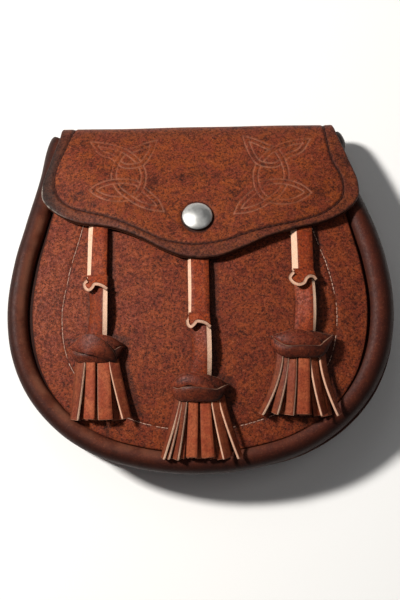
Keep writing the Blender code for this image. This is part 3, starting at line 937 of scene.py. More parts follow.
HEM_LINE = along([
    (-61, 89.8), (-65.4, 78.3), (-70.7, 64.5), (-71.1, 58.4), (-68.7, 51), (-62, 45.1), (-54.9, 42.7),
    (-44.9, 39.7), (-30.5, 33.3), (-16.4, 26.4), (-1.2, 23.8), (11.8, 25.3), (26.9, 30.2), (37.9, 33.2),
    (48.9, 35.7), (64.4, 42), (71.4, 49.5), (72.1, 56.7), (67.1, 70.3), (65.2, 84.5), (64.6, 90.5),
], 1400)  # fmt: skip
print("the hem's sewn line is", round(lengths_along(HEM_LINE)[-1]), "mm long")

# %% [markdown]
# The ornament on each side of the flap is a traditional knot of four crossed ribbons. Each ribbon is drawn by
# its outer line, a few points from tip to tip, and its inner line runs beside it. Where two ribbons cross,
# the one below is hidden, and round the knot that alternates: over, under, over, under. The left knot is the
# mirror image of the right one, a little smaller and turned, as it is on the pouch.

# %% The knot
Ribbon = namedtuple("Ribbon", "hollow points")
RIBBONS = {
    "right": Ribbon(1, [
        (-12.6, 16.6), (-6.9, 14.8), (0, 11.5), (3.5, 10.3), (6.5, 6.6), (8.4, 1.75), (8.9, -3.5),
        (7.8, -7.4), (5.2, -11.4), (0, -15.3), (-4.8, -18.2), (-11.3, -20.3), (-18.4, -21),
    ]),
    "left": Ribbon(-1, [
        (20.8, 14.5), (14.7, 14.1), (7.8, 12.7), (1.7, 10.3), (-3.5, 6.3), (-6.7, 2.2), (-8.2, -1.75),
        (-8.4, -5.7), (-7.6, -9.6), (-5.2, -13.6), (-0.9, -16), (5.6, -16.7), (11.3, -15.75), (16, -13.6),
        (19.2, -11.2),
    ]),
    "arch": Ribbon(1, [
        (-18.4, -21), (-15.6, -15.75), (-11.7, -12.25), (-7.8, -9.2), (-5.6, -6.8), (0, -5.3), (6.1, -5.3),
        (12.1, -6.65), (16.5, -8.8), (19.2, -11.2),
    ]),
    "bowl": Ribbon(-1, [
        (-12.6, 16.6), (-11.7, 13.1), (-10.6, 9.4), (-8.7, 5.25), (-6.5, 2.4), (-3.5, 1.1), (0, 0.5),
        (3.5, 0.9), (6.9, 3.1), (10, 5.6), (13.9, 6.8), (16.9, 8.75), (19, 11.8), (20.8, 14.5),
    ]),
}  # fmt: skip
Crossing = namedtuple("Crossing", "x y over under tip")
CROSSINGS = [
    Crossing(1.0, 10.7, "left", "right", False),
    Crossing(7.9, 3.8, "right", "bowl", False),
    Crossing(8.5, -5.7, "arch", "right", False),
    Crossing(-1.2, -15.9, "right", "left", False),
    Crossing(-7.9, -9.2, "left", "arch", False),
    Crossing(-6.5, 2.4, "bowl", "left", False),
    Crossing(-12.6, 16.6, "right", "bowl", True),
    Crossing(20.8, 14.5, "left", "bowl", True),
    Crossing(-18.4, -21.0, "right", "arch", True),
    Crossing(19.2, -11.2, "left", "arch", True),
]
RIBBON_HALF = 1.25
LINE_HALF = 0.36
HIDDEN_REACH = 4.6  # a ribbon can hide another only this near their crossing
LEFT_TURN = math.radians(-3.65)


def right_knot(points):
    return np.asarray(points) * [1.02, 1.186] + [36.45, 64.0]


def left_knot(points):
    cos, sin = math.cos(LEFT_TURN), math.sin(LEFT_TURN)
    spin = np.array([[cos, -sin], [sin, cos]])
    return ((mirrored(right_knot(points)) - [-38.9, 64.35]) @ spin.T) * [0.985, 0.913] + [-35.7, 65.3]


def knot_lines(plan, place, strength):
    """How deep in a drawn line of the knot each plan point is, from 0 to 1."""
    inwards = RIBBON_HALF * (1 if place is right_knot else -1)
    from_outer = {}
    from_middle = {}
    drawn = {}
    for name, ribbon in RIBBONS.items():
        outer = along(place(ribbon.points), 500)
        tangent = unit(np.gradient(outer, axis=0))
        across_it = np.stack([tangent[:, 1], -tangent[:, 0]], axis=1) * inwards * ribbon.hollow
        from_outer[name] = distance_to(outer, plan)[0]
        from_middle[name] = distance_to(outer + across_it, plan)[0]
        from_inner = distance_to(outer + 2 * across_it, plan)[0]
        drawn[name] = [bell(away, LINE_HALF) for away in (from_outer[name], from_inner)]
    for crossing in CROSSINGS:
        near = np.linalg.norm(plan - place([(crossing.x, crossing.y)])[0], axis=1) < HIDDEN_REACH
        if crossing.tip:
            for one, other in ((crossing.over, crossing.under), (crossing.under, crossing.over)):
                drawn[one][1][near & (from_outer[other] < 2 * RIBBON_HALF - 0.1)] = 0.0
        else:
            for line in drawn[crossing.under]:
                line[near & (from_middle[crossing.over] < RIBBON_HALF - 0.12)] = 0.0
    return np.max([line for pair in drawn.values() for line in pair], axis=0) * strength


for place in (left_knot, right_knot):
    tips = place([(crossing.x, crossing.y) for crossing in CROSSINGS if crossing.tip])
    print(place.__name__, "tips at", tips.round(1).tolist())

# %% [markdown]
# Now the three stretches of the hide. The back is level, the fold turns over the mouth, and the flap comes
# down from the fold's end onto the dome. Its lower edge sags a little, more on the right.

# %% The plan of the hide
COLUMNS = 379
BACK_ROWS = 31
FOLD_ROWS = 22
FLAP_ROWS = 176
CAP_RADIUS = 7.6
across = np.linspace(-1.0, 1.0, COLUMNS)

side_angles = np.linspace(BASE_CORNER, ROW_ANGLES[BACK_TURN], 40)
side = outline_at(side_angles, -column("grow", side_angles))
right = along(np.vstack([side, [(FOLD_BACK_HALF, FOLD_UP)]]), BACK_ROWS)
base_angles = np.linspace(-BASE_CORNER, BASE_CORNER, 200)
bottom = along(outline_at(base_angles, -column("grow", base_angles)), COLUMNS)
top = np.stack([across * FOLD_BACK_HALF, np.full(COLUMNS, FOLD_UP)], axis=-1)
back_plan = patch(bottom, top, mirrored(right), right)
back_plan[..., 0] -= tuck(back_plan)
back_grid = with_height(back_plan, np.full(back_plan.shape[:2], BACK_MID))

turn = np.linspace(0.0, FOLD_TURN, FOLD_ROWS + 2)[1:-1]
part = turn / FOLD_TURN
half = FOLD_BACK_HALF + (FLAP_SIDE[0].across - FOLD_BACK_HALF) * part
fold_grid = np.zeros((FOLD_ROWS, COLUMNS, 3))
fold_grid[..., 0] = half[:, None] * across[None] + FLAP_SHIFT * part[:, None]
fold_grid[..., 1] = (FOLD_UP + FOLD_RADIUS * np.sin(turn))[:, None]
fold_grid[..., 2] = (FOLD_CENTRE - FOLD_RADIUS * np.cos(turn))[:, None]

right = along(FLAP_SIDE, FLAP_ROWS) + [FLAP_SHIFT, 0]
left = mirrored(along(FLAP_SIDE, FLAP_ROWS), FLAP_SHIFT)
lower_half = along(FLAP_LOWER, COLUMNS // 2 + 1)
lower = np.vstack([mirrored(lower_half), lower_half[-2::-1]]) + [FLAP_SHIFT, 0]
start = np.stack([across * FLAP_SIDE[0].across + FLAP_SHIFT, np.full(COLUMNS, FOLD_END_UP)], axis=-1)
left[0] = start[0]
right[0] = start[-1]
flap_plan = patch(start, lower, left, right)
sag = np.interp(flap_plan[..., 0], *np.array(FLAP_SAG).T)
flap_plan[..., 1] -= sag * np.linspace(0, 1, FLAP_ROWS)[:, None] ** 2
flap_grid = with_height(flap_plan, flap_height(flap_plan[..., 0], flap_plan[..., 1]))

middle = np.vstack([back_grid, fold_grid, flap_grid])
plan = middle[..., :2].reshape(-1, 2)
on_flap = np.repeat(np.arange(len(middle)) >= BACK_ROWS + FOLD_ROWS // 2, COLUMNS)
print("the hide is a grid of", middle.shape[:2], "points")

# %% [markdown]
# All relief of the flap is one height for each point of the grid: soft waves, the groove that the hem is sewn
# in, the drawn lines of the knots, and the dish round the cap.

# %% Relief of the hide
WAVE = 0.16
SEWN_DEPTH = 0.45
KNOT_DEPTH = 0.42
DISH_DEPTH = 0.35
hem, place = distance_to(HEM_LINE, plan, 14.0)
nearest = HEM_LINE[np.round(place * (len(HEM_LINE) - 1)).astype(int)]
outside = np.linalg.norm(plan - FLAP_MIDDLE, axis=1) > np.linalg.norm(nearest - FLAP_MIDDLE, axis=1)
sewn = bell(hem, 0.75) * on_flap
knots = np.maximum(knot_lines(plan, right_knot, 1.0), knot_lines(plan, left_knot, 0.85)) * on_flap
from_cap = np.linalg.norm(plan - [0.0, SNAP_UP], axis=1)
dish = bell(from_cap - CAP_RADIUS - 0.5, 1.1) * on_flap
waves = np.sin(plan[:, 0] / 11.0 + plan[:, 1] / 19.0) * np.sin(plan[:, 1] / 9.0 - plan[:, 0] / 31.0) * on_flap
relief = waves * WAVE - sewn * SEWN_DEPTH - knots * KNOT_DEPTH - dish * DISH_DEPTH
print("relief from", round(relief.min(), 2), "to", round(relief.max(), 2), "mm")

# %% [markdown]
# Towards its edges the flap's colour changes. Outside the sewn line it is darker, most at the left. Along the
# fold, which turns away from the lamp, it is painted with shade. The lower left corner is pale along its very
# edge: wear, and a painted highlight where the bevel catches the lamp. A painted ring of shade lies round
# the cap.

# %% Wear, painted shade and a painted highlight on the hide
MARGIN_DARK = 0.38
MARGIN_WORN = 0.02
FOLD_SHADE = 0.68  # how strongly the fold is painted with shade, over the last few millimetres below it
FOLD_SHADE_REACH = 5.0
Share = namedtuple("Share", "across share")
MARGIN_SHARES = [Share(-72.0, 2.4), Share(-61.0, 1.0), Share(0.0, 1.0), Share(30.0, 0.75)]

# A painted ring of shade round the cap.
ring = ramp(from_cap, CAP_RADIUS + 0.8, -0.3) * on_flap
# Pale along the lower left corner's very edge: wear, and a painted highlight where the bevel catches the
# lamp.
corner = along(mirrored(FLAP_SIDE[2:4] + FLAP_LOWER[:3], FLAP_SHIFT), 200)
from_corner, along_it = distance_to(corner, plan)
edge_wear_and_glint = bell(from_corner, 0.48) * ramp(along_it, 0.85, -0.35) * on_flap * 0.9
edge = np.concatenate([flap_plan[:, 0], flap_plan[-1], flap_plan[:, -1]])
margin_and_fold_shade = ramp(hem, 0, 0.8) * outside * (1.3 - distance_to(edge, plan, 9.0)[0] / 14) * on_flap
on_fold = ramp(plan[:, 1], FOLD_END_UP - FOLD_SHADE_REACH, FOLD_SHADE_REACH) * on_flap
margin_and_fold_shade = np.maximum(margin_and_fold_shade, on_fold * FOLD_SHADE)
margin_and_fold_shade = margin_and_fold_shade * np.interp(plan[:, 0], *np.array(MARGIN_SHARES).T)

hide = Heap()
# Passed in: painted shade in the sewn groove, in the dish and in the ring round the cap, and, with cut at 0,
# a fully dark cut, a burnished edge that also paints shade on the wall of the flap's lower edge.
thick_sheet(
    hide, middle, PANEL, relief, edge=0.8, cut=0.0, burnish=margin_and_fold_shade * MARGIN_DARK, line=knots * 0.9,
    groove=np.maximum.reduce([sewn, dish * 0.35, ring]),
    worn=np.maximum(edge_wear_and_glint, np.clip(margin_and_fold_shade, 0, 1.2) * MARGIN_WORN),
)  # fmt: skip
hide.make("back_and_flap", hides["flap_leather"], "flap_leather", "back_and_flap")

thread = Heap()
stitches(thread, HEM_LINE, flap_top, spacing=2.9, length=2.5, thick=THREAD_THICK, sunk=0.30, wobble=0.2)
thread.make("flap_stitching", dark_thread, "flap_leather")

# %% [markdown]
# ## Front panel
# The domed front is wet-moulded over a former, so its height over the plan is a smooth dome. A crease runs
# round it, well inside the edge, and a pale thread lies in it. The crease is a groove in the grid, and the
# thread is broken, because on the pouch it shows only here and there.

# %% What hangs on the panel
Thong = namedtuple("Thong", "side top_across head_across foot_across foot_half top knot head")
THONGS = [
    Thong("left", -49.2, -49.9, -46.8, 16.4, 47.0, 4.0, -26.0),
    Thong("centre", -0.4, 0.6, 1.6, 18.4, 28.5, -15.9, -46.0),
    Thong("right", 50.0, 50.4, 48.6, 18.4, 45.0, 5.6, -25.8),
]
# Half of the width of the painted shadow at heights above a tassel's head, from its foot up
ShadowWidth = namedtuple("ShadowWidth", "above half")
SHADOW_WIDTHS = [ShadowWidth(-34.5, 0.0), ShadowWidth(-33.0, 16.3), ShadowWidth(-6.0, 11.3), ShadowWidth(5.0, 12.8), ShadowWidth(7.0, 5.2), ShadowWidth(47.0, 5.2)]
SHADOW_SHIFT = 2.4
SHADOW_FADE = 1.5
SHADOW_DARK = 0.72


def darkened(plan):
    """Painted shadow of the thongs and tassels on the panel: under each and a little to its right."""
    marks = []
    for thong in THONGS:
        above = plan[:, 1] - thong.head
        middle = np.interp(above, [-32.0, 0.0], [thong.foot_across, thong.head_across])
        past = np.abs(plan[:, 0] - middle - SHADOW_SHIFT) - np.interp(above, *np.array(SHADOW_WIDTHS).T)
        marks.append(bell(np.clip(past, 0, None), SHADOW_FADE) * (plan[:, 1] < thong.top))
    return np.max(marks, axis=0)


print("knots lie", [thong.top - thong.knot for thong in THONGS], "mm below the thongs' tops")


# %% [markdown]
# The panel's grid fills the outline, moved in by inset, up to a straight edge under the flap. Its thread is
# sewn in two runs, because the stitches are shorter on the right.

# %% The panel
PANEL_COLUMNS = 265
PANEL_ROWS = 241
side = outline_at(side_angles, column("inset", side_angles))
right = along(np.vstack([side, [(PANEL_TOP_HALF, PANEL_TOP)]]), PANEL_ROWS)
bottom = along(outline_at(base_angles, column("inset", base_angles)), PANEL_COLUMNS)
top = np.linspace((-PANEL_TOP_HALF, PANEL_TOP), (PANEL_TOP_HALF, PANEL_TOP), PANEL_COLUMNS)
panel_plan = patch(top, bottom, mirrored(right)[::-1], right[::-1])
panel_top = with_height(panel_plan, front_height(panel_plan[..., 0], panel_plan[..., 1]))
panel_middle = panel_top - normals_of(panel_top) * PANEL / 2

CREASE_END = ROW_ANGLES[SHOULDER - 1]
CREASE_WIDTH = 0.8
CREASE_DEPTH = 0.4
crease_angles = np.linspace(-CREASE_END, CREASE_END, 1800)
straighter = 3.2 * ramp(-crease_angles, 1.85, 0.55)  # the crease runs straighter at the top left
crease = outline_at(crease_angles, column("crease", crease_angles) - straighter)
plan = panel_plan.reshape(-1, 2)
# The crease is pressed into the grid and also painted with shade.
folded = bell(distance_to(crease, plan)[0], CREASE_WIDTH)
front = Heap()
# The panel is painted with the shadow of the thongs and tassels, to their right, away from the lamp.
thick_sheet(
    front, panel_middle, PANEL, -folded * CREASE_DEPTH, edge=0.9, cut=0.6,
    groove=folded * 0.5, burnish=darkened(plan) * SHADOW_DARK,
)  # fmt: skip
front.make("front_panel", hides["panel_leather"], "panel_leather", "front_panel")

Run = namedtuple("Run", "line spacing length thick skip seed")
half_way = len(crease) * 5 // 9
runs = [Run(crease[:half_way], 2.3, 2.15, 0.20, 0.12, 4), Run(crease[half_way:], 2.0, 1.55, 0.22, 0.10, 5)]
thread = Heap()
for run in runs:
    stitches(
        thread, run.line, front_height, run.spacing, run.length, run.thick,
        sunk=0.22, skip=run.skip, wobble=0.10, seed=run.seed,
    )  # fmt: skip
thread.make("panel_stitching", pale_thread, "panel_leather")

# %% [markdown]
# ## Gusset
# One band of softer, darker leather joins back to front. In section it starts as a flange on the back, turns
# up into a wall, rolls forward in a bead, and ends as a hem under the front panel. The same few named bends
# serve every station round the outline.

# %% The gusset
Step = namedtuple("Step", "inward upward")
Wall = namedtuple("Wall", "rise lean")
FLANGE = 5.0
TURN_UP = [Step(0.0, 0.0), Step(1.0, 0.5), Step(1.3, 1.7)]
WALL = [Wall(0.35, 0.62), Wall(0.7, 0.2)]
ROLL = 5.9
ROLL_WIDER_RIGHT = 0.12
ROLL_RISE = 0.4
ROLL_TURNS = np.radians([180, 155, 130, 105, 80, 55, 30, 5, -20, -42])
HEM = 6.0
HEM_REACHES = (0.25, 1.0)
HEM_START = 0.6
HEM_CLEAR = 9.0  # the hem starts no nearer to the outline than this, to clear the roll
SLOPING = 1.1  # the panel slopes at the hem, so its thickness takes up more height
STATIONS = 401
SECTION_POINTS = 69


def roll_at(angle):
    return ROLL * (1 + ROLL_WIDER_RIGHT * math.sin(angle))


def gusset_section(angle):
    roll = roll_at(angle)
    grow = float(column("grow", angle))
    inset = float(column("inset", angle))
    edge = outline_at(np.array(angle), inset)
    edge_height = float(front_height(edge[0], edge[1]))
    roll_centre = edge_height + ROLL_RISE - roll
    radius = roll - GUSSET / 2
    low = BACK_TOP + GAP + GUSSET / 2
    section = [(-grow, low), (-grow + FLANGE / 2, low)]
    for step in TURN_UP:
        section.append((-grow + FLANGE + step.inward, low + step.upward))
    foot, wall_foot = section[-1]
    outer = roll - radius
    for row in WALL:
        section.append((outer + (foot - outer) * row.lean, wall_foot + (roll_centre - wall_foot) * row.rise))
    for bend in ROLL_TURNS:
        section.append((roll + radius * math.cos(bend), roll_centre + radius * math.sin(bend)))
    under = (PANEL + GAP + GUSSET / 2) * SLOPING
    for share in HEM_REACHES:
        reach = max(inset - HEM_START, HEM_CLEAR) + HEM * share
        point = outline_at(np.array(angle), reach)
        section.append((reach, float(front_height(point[0], point[1])) - under))
    return section


print("the section at the bottom has", len(gusset_section(0.0)), "bends")

# %% [markdown]
# The lamp stands to the left, so the roll is lit there and falls into shade on the right. Its colour is
# painted to match: a painted highlight along its left crest, painted shade down its outer side and the inner
# side on the right, and painted shade in the valley between it and the panel, deepest on the left.

# %% The band
CREST = 58.0  # degrees round the roll, from straight in over the top to straight out
CREST_WIDTH = 28.0
band = []
painted_crest_highlight = []
painted_roll_shade = []
painted_valley_shade = []
for angle in np.linspace(-ROW_ANGLES[SHOULDER], ROW_ANGLES[SHOULDER], STATIONS):
    bends = gusset_section(angle)
    fine = along(bends, SECTION_POINTS)
    points = outline_at(np.full(SECTION_POINTS, angle), fine[:, 0])
    points[:, 0] -= tuck(points)
    band.append(with_height(points, fine[:, 1]))
    roll = roll_at(angle)
    roll_centre = max(point[1] for point in bends) - roll + GUSSET / 2
    bend = np.degrees(np.arctan2(fine[:, 1] - roll_centre, fine[:, 0] - roll))
    leftness = np.clip(0.5 - points[:, 0] / 150, 0, 1)
    painted_crest_highlight.append(bell(bend - CREST, CREST_WIDTH) * 0.50 * leftness)
    painted_roll_shade.append(ramp(bend, 82, 40) * 0.9 + np.clip((85 - bend) / 60, 0, 0.6) * (1 - leftness))
    deep = np.clip((20 * leftness - 15 - bend) / 20 + leftness, 0, 1) * (0.35 + 0.65 * leftness)
    painted_valley_shade.append(deep * (fine[:, 0] > roll))
rolled = Heap()
marks = {"line": painted_crest_highlight, "burnish": painted_roll_shade, "groove": painted_valley_shade}
thick_sheet(rolled, np.array(band), GUSSET, coarse=4, edge=0.5, cut=0.2, **marks)
rolled.make("gusset", hides["roll_leather"], "roll_leather", "gusset")

# %% [markdown]
# ## Thongs
# Three straps hang from under the flap. Half way down, each is drawn through a slit of its own: the upper
# strip ends in a raised, wavy lip, and the lower strip comes out from under it. So a thong is two straps and
# a lip.

# %% The upper strip
THONG_HALF = 5.25
THONG_SHIFT = 0.45
THONG_LIFT = 0.4


def thong_line(thong, up):
    part = (thong.top - up) / (thong.top - thong.head)
    return thong.top_across + THONG_SHIFT + (thong.head_across - thong.top_across) * part


def facing_at(across, up):
    """The way that the domed front faces at a place on it."""
    step = 0.5
    east = (front_height(across + step, up) - front_height(across - step, up)) / (2 * step)
    north = (front_height(across, up + step) - front_height(across, up - step)) / (2 * step)
    return unit(np.stack([-east, -north, np.ones_like(east)], axis=-1))


def laid(thong, ups, bow=0.0):
    """The middle of a strap that lies down the thong's line, bowed out to the right by bow."""
    share = (ups - ups[0]) / (ups[-1] - ups[0])
    across = thong_line(thong, ups) + bow * np.sin(share * math.pi)
    return on_front(across, ups, THONG_LIFT + STRAP / 2)


def upper_strip(heap, thong):
    path = laid(thong, np.linspace(thong.top, thong.knot + 1.0, 40))
    facing = facing_at(path[:, 0], path[:, 1])
    share = np.linspace(0, 1, len(path))
    stiff = ramp(share, 0.18, 0.25) + 0.6 * ramp(share, 0.86, 0.14) ** 2
    slants = {"left": 2.9 - 0.9 * share, "centre": 0.9 + 0.6 * np.sin(share * 3), "right": 2.3 + 0.3 * share}
    strap(
        heap, path + facing * stiff[:, None], facing, THONG_HALF, STRAP,
        slant_left=slants[thong.side], slant_right=0.2, raw=(1.0, 0.0),
    )  # fmt: skip


print("the front faces", facing_at(np.array(30.0), np.array(40.0)).round(2), "beside the cap")

# %% [markdown]
# The lower strip leans: its right edge stands up from the front, so that its pale cut faces the light.

# %% The lower strip
Lower = namedtuple("Lower", "lean raw thick slant dark")  # lean is in degrees
LOWERS = {
    "left": Lower(27, 1.0, 1.6, 1.6, 0.32),
    "centre": Lower(27, 0.92, 1.6, 1.6, 0.32),
    "right": Lower(26, 1.0, 1.3, 0.95, 0.0),
}


def lower_strip(heap, thong):
    row = LOWERS[thong.side]
    path = laid(thong, np.linspace(thong.knot + 2.5, thong.head + 5.0, 44), bow=0.9)
    facing = facing_at(path[:, 0], path[:, 1])
    lean = np.radians(row.lean) * np.sin(np.linspace(0.12, 0.92, len(path)) * math.pi)
    east = unit(np.cross((0.0, 1.0, 0.0), facing))
    facing = facing * np.cos(lean)[:, None] - east * np.sin(lean)[:, None]
    path[:, 2] += THONG_HALF * np.sin(lean)
    strap(
        heap, path, facing, THONG_HALF - 0.1, row.thick,
        slant_left=0.1, slant_right=row.slant, raw=(0.0, row.raw), dark=row.dark,
    )  # fmt: skip


print("the lower strips lean", [LOWERS[thong.side].lean for thong in THONGS], "degrees")

# %% [markdown]
# The lip grows out of the upper strip and runs down to its own edge, which turns up so that its cut faces the
# viewer.

# %% The lip, and the three thongs
LIP_COLUMNS = 43
LIP_ROWS = 25
LIP_THICK = 1.9
LIP_START = (0.1, 5.4)
LIP_START_HALF = 5.0
LIP_RISE = 1.6
LIP_TURN_UP = 2.1
# The plan of each lip's edge, from its left curl to its right end
LIPS = {
    "left": [
        (-4.6, 2.6), (-6.0, 1.7), (-5.6, -0.6), (-3.9, -1.9), (-2.2, -0.9), (-1.2, 0.7), (0.6, 0.7),
        (3.0, -0.2), (5.2, -1.7),
    ],
    "centre": [
        (-5.6, 1.8), (-5.4, -0.2), (-4.2, -1.6), (-2.6, -0.6), (-1.2, 0.9), (0.6, 0.8), (3.0, 0.1),
        (5.4, -1.8),
    ],
    "right": [
        (-4.4, 3.6), (-6.2, 0.9), (-5.0, -1.2), (-2.2, -2.6), (0.2, -1.8), (1.6, 0.6), (3.0, 1.7),
        (4.9, 1.7), (6.4, 0.2),
    ],
}  # fmt: skip


def lip(heap, thong):
    edge = along(LIPS[thong.side], LIP_COLUMNS)
    from_side = np.linspace(-1, 1, LIP_COLUMNS)
    start_up = LIP_START[1] + 0.5 * np.cos(from_side * 1.4)
    start = np.stack([from_side * LIP_START_HALF + LIP_START[0], start_up], axis=1)
    share = np.linspace(0, 1, LIP_ROWS)[:, None]
    going = ramp(share, 0, 0.8)
    plan = start + (edge - start) * (going**1.15)[..., None]
    up = plan[..., 1] + thong.knot
    across = plan[..., 0] + thong_line(thong, up)
    rise = LIP_RISE * going**1.2 + LIP_TURN_UP * ramp(share, 0.72, 0.28) ** 1.6
    sag = 1 - 0.45 * (plan[..., 0] / 6.0) ** 2
    middle = on_front(across, up, THONG_LIFT + STRAP + 0.7 + rise * sag)
    thick_sheet(heap, middle, LIP_THICK, edge=0.3, cut=0.7)


for thong in THONGS:
    heap = Heap()
    upper_strip(heap, thong)
    lower_strip(heap, thong)
    lip(heap, thong)
    heap.make("thong_" + thong.side, hides["thong_leather"], "thong_leather", "thong_" + thong.side)

# %% [markdown]
# ## Tassels
# A tassel is one wide strip of leather, cut into a fringe, rolled up and bound with a folded dark strap. The
# binding is three flat straps that cross over a core, and each lies on the ones before it.

# %% The core of a head
HEAD_SIDES = 48
HEAD_STEPS = 24
HEAD_ROUNDNESS = 0.85
HEAD_LIFT = 0.9
HEAD_HALF = {"left": 13.4, "centre": 13.8, "right": 15.2}
HEAD_UP_HALF = 8.6
CORE_RISE = 5.8
FOLD_RISE = 1.15  # each strap lies this much higher than the one before
Ring = namedtuple("Ring", "down half thick")
HEAD_RINGS = [
    Ring(-5.8, 4.6, 4.2), Ring(-3.8, 7.6, 6.2), Ring(0.0, 10.8, 6.8),
    Ring(3.4, 10.0, 6.6), Ring(6.3, 7.8, 5.6),
]  # fmt: skip


def head_core(thong):
    rings = np.array(HEAD_RINGS)
    downs = np.linspace(rings[0, 0], rings[-1, 0], HEAD_STEPS)
    turn = (np.arange(HEAD_SIDES) + 0.5) / HEAD_SIDES * 2 * math.pi
    wide = np.sign(np.cos(turn)) * np.abs(np.cos(turn)) ** HEAD_ROUNDNESS
    tall = np.sign(np.sin(turn)) * np.abs(np.sin(turn)) ** HEAD_ROUNDNESS
    made = []
    for down, (half, thick) in zip(downs, smooth_through(rings[:, 0], rings[:, 1:], downs)):
        up = np.full(HEAD_SIDES, thong.head - down)
        made.append(on_front(thong.head_across + half * wide, up, HEAD_LIFT + thick * (1 + tall) / 2))
    return made


def head_surface(thong, points, layer):
    """Plan points from a head's middle, laid on its rounded core with layer straps under them."""
    round_across = np.clip(1 - (points[..., 0] / HEAD_HALF[thong.side]) ** 2, 0.02, 1) ** 0.6
    round_up = np.clip(1 - (points[..., 1] / HEAD_UP_HALF) ** 2, 0.05, 1) ** 0.4
    lift = HEAD_LIFT + (CORE_RISE + FOLD_RISE * layer) * round_across * round_up
    return on_front(thong.head_across + points[..., 0], thong.head + points[..., 1], lift)


print("a head's core has", len(head_core(THONGS[0])), "rings of", HEAD_SIDES)

# %% [markdown]
# The three straps of each binding, as bends from the head's middle. The first lies at the top, and a strap's
# half width changes along it, so that it seems to fold round the core at its ends.

# %% The folds of the heads
Bend = namedtuple("Bend", "across up half")
FOLDS = {
    "left": [
        [Bend(-7.0, 2.4, 1.2), Bend(-3, 3.2, 2.4), Bend(3, 2.8, 3.0), Bend(8, 1.8, 2.8), Bend(13, 0.8, 0.8)],
        [Bend(-11.0, -1.0, 0.8), Bend(-8.6, -4.2, 2.3), Bend(-3, -5.6, 2.6), Bend(4, -5.6, 2.6),
         Bend(9.6, -4.0, 2.6), Bend(13.2, 0.2, 0.8)],
        [Bend(-11.5, 0.4, 0.8), Bend(-8.0, 0.6, 3.1), Bend(-3.4, 1.1, 4.9), Bend(2.5, -1.2, 4.2),
         Bend(7.5, -4.6, 2.8), Bend(9.8, -6.6, 1.4)],
    ],
    "centre": [
        [Bend(-6, 3.2, 1.2), Bend(-2, 3.6, 2.2), Bend(4, 2.4, 2.9), Bend(9, 1.5, 2.3), Bend(13.1, 0.4, 0.8)],
        [Bend(-13.1, 0.7, 0.8), Bend(-9.5, 2.0, 2.7), Bend(-5, 3.4, 3.1), Bend(-1, 2.5, 3.1),
         Bend(4, -0.6, 3.0), Bend(8.5, -3.6, 2.4)],
        [Bend(-12.9, -0.2, 0.8), Bend(-10, -3.3, 2.9), Bend(-4, -3.7, 3.7), Bend(2, -4.1, 3.5),
         Bend(8.4, -3.9, 2.9), Bend(13.2, 0.6, 0.8)],
    ],
    "right": [
        [Bend(-2, 4.2, 1.6), Bend(3, 3.8, 2.5), Bend(7.6, 2.6, 3.0), Bend(11, 3, 2.0), Bend(13.8, 4.0, 0.8)],
        [Bend(-13.8, 3.4, 1.2), Bend(-9, 2.6, 3.2), Bend(-3, 2.6, 4.3), Bend(3, 0.9, 3.5), Bend(8, -1.6, 2.7),
         Bend(10, -3.4, 1.6)],
        [Bend(-15.2, 3.8, 0.8), Bend(-12.6, -1.2, 2.5), Bend(-8.6, -3.7, 2.8), Bend(-2, -3.9, 3.0),
         Bend(4, -3.9, 3.0), Bend(8.0, -3.4, 2.8), Bend(10.8, -0.3, 2.0), Bend(13.9, 4.1, 0.8)],
    ],
}  # fmt: skip


def fold(heap, thong, layer, bends):
    fine = along(bends, 70)
    plan = fine[:, :2]
    ahead = [head_surface(thong, plan + step, layer) for step in np.eye(2) * 0.4]
    behind = [head_surface(thong, plan - step, layer) for step in np.eye(2) * 0.4]
    east, north = np.array(ahead) - np.array(behind)
    shade = 0.6 * ramp(plan[:, 0], 3, 8) + 0.4 * ramp(-plan[:, 1], 0, 4)
    pale = 0.06 + 0.22 * ramp(np.abs(plan[:, 0]), 5, 3)
    strap(
        heap, head_surface(thong, plan, layer), unit(np.cross(east, north)), fine[:, 2], 1.5,
        crown=0.5, raw=(0.0, pale), end_raw=0.15, dark=shade,
    )  # fmt: skip


for thong in THONGS:
    heap = Heap()
    # The core shows only between the straps, and is painted dark: painted shade in those crevices.
    heap.tube(head_core(thong), burnish=0.6)
    for layer, bends in enumerate(FOLDS[thong.side]):
        fold(heap, thong, layer, bends)
    name = "tassel_head_" + thong.side
    heap.make(name, hides["head_leather"], "roll_leather", name, sharp=35)

# %% [markdown]
# The strips of a fringe fan out like a trumpet. The outer ones turn edge-on to the viewer, so their cream
# cuts show as long lines. Five plain strips behind them fill the gaps.

# %% Fringes
Strip = namedtuple("Strip", "top foot half_top half_foot turn")  # turn is in degrees
Fringe = namedtuple("Fringe", "foot behind_lift flare strips")
FRINGES = {
    "left": Fringe(33.9, 1.9, 1.2, [
        Strip(-6.6, -10.0, 2.9, 3.1, -40), Strip(9.0, 15.8, 2.6, 2.8, 46),
        Strip(-1.6, -2.5, 2.3, 3.0, -5), Strip(4.4, 5.5, 3.0, 3.7, 9),
    ]),
    "centre": Fringe(32.9, 3.3, 1.2, [
        Strip(-10.2, -17.6, 2.0, 2.2, -68), Strip(10.4, 19.4, 2.0, 2.2, 66),
        Strip(-9.0, -15.6, 1.8, 2.0, -52), Strip(-7.5, -11.6, 2.3, 2.6, -48), Strip(8.0, 13.6, 2.8, 3.0, 43),
        Strip(-2.7, -3.6, 2.4, 2.9, -4), Strip(2.8, 4.2, 2.6, 3.3, 4),
    ]),
    "right": Fringe(33.0, 2.5, 1.7, [
        Strip(-11.3, -20.4, 2.0, 2.2, -66), Strip(9.0, 17.0, 2.2, 2.6, 60),
        Strip(-9.0, -14.0, 2.3, 2.5, -54), Strip(5.0, 9.9, 2.6, 2.7, 44),
        Strip(-5.3, -7.2, 2.2, 2.7, -32), Strip(0.2, -0.3, 2.8, 3.35, 0),
    ]),
}  # fmt: skip
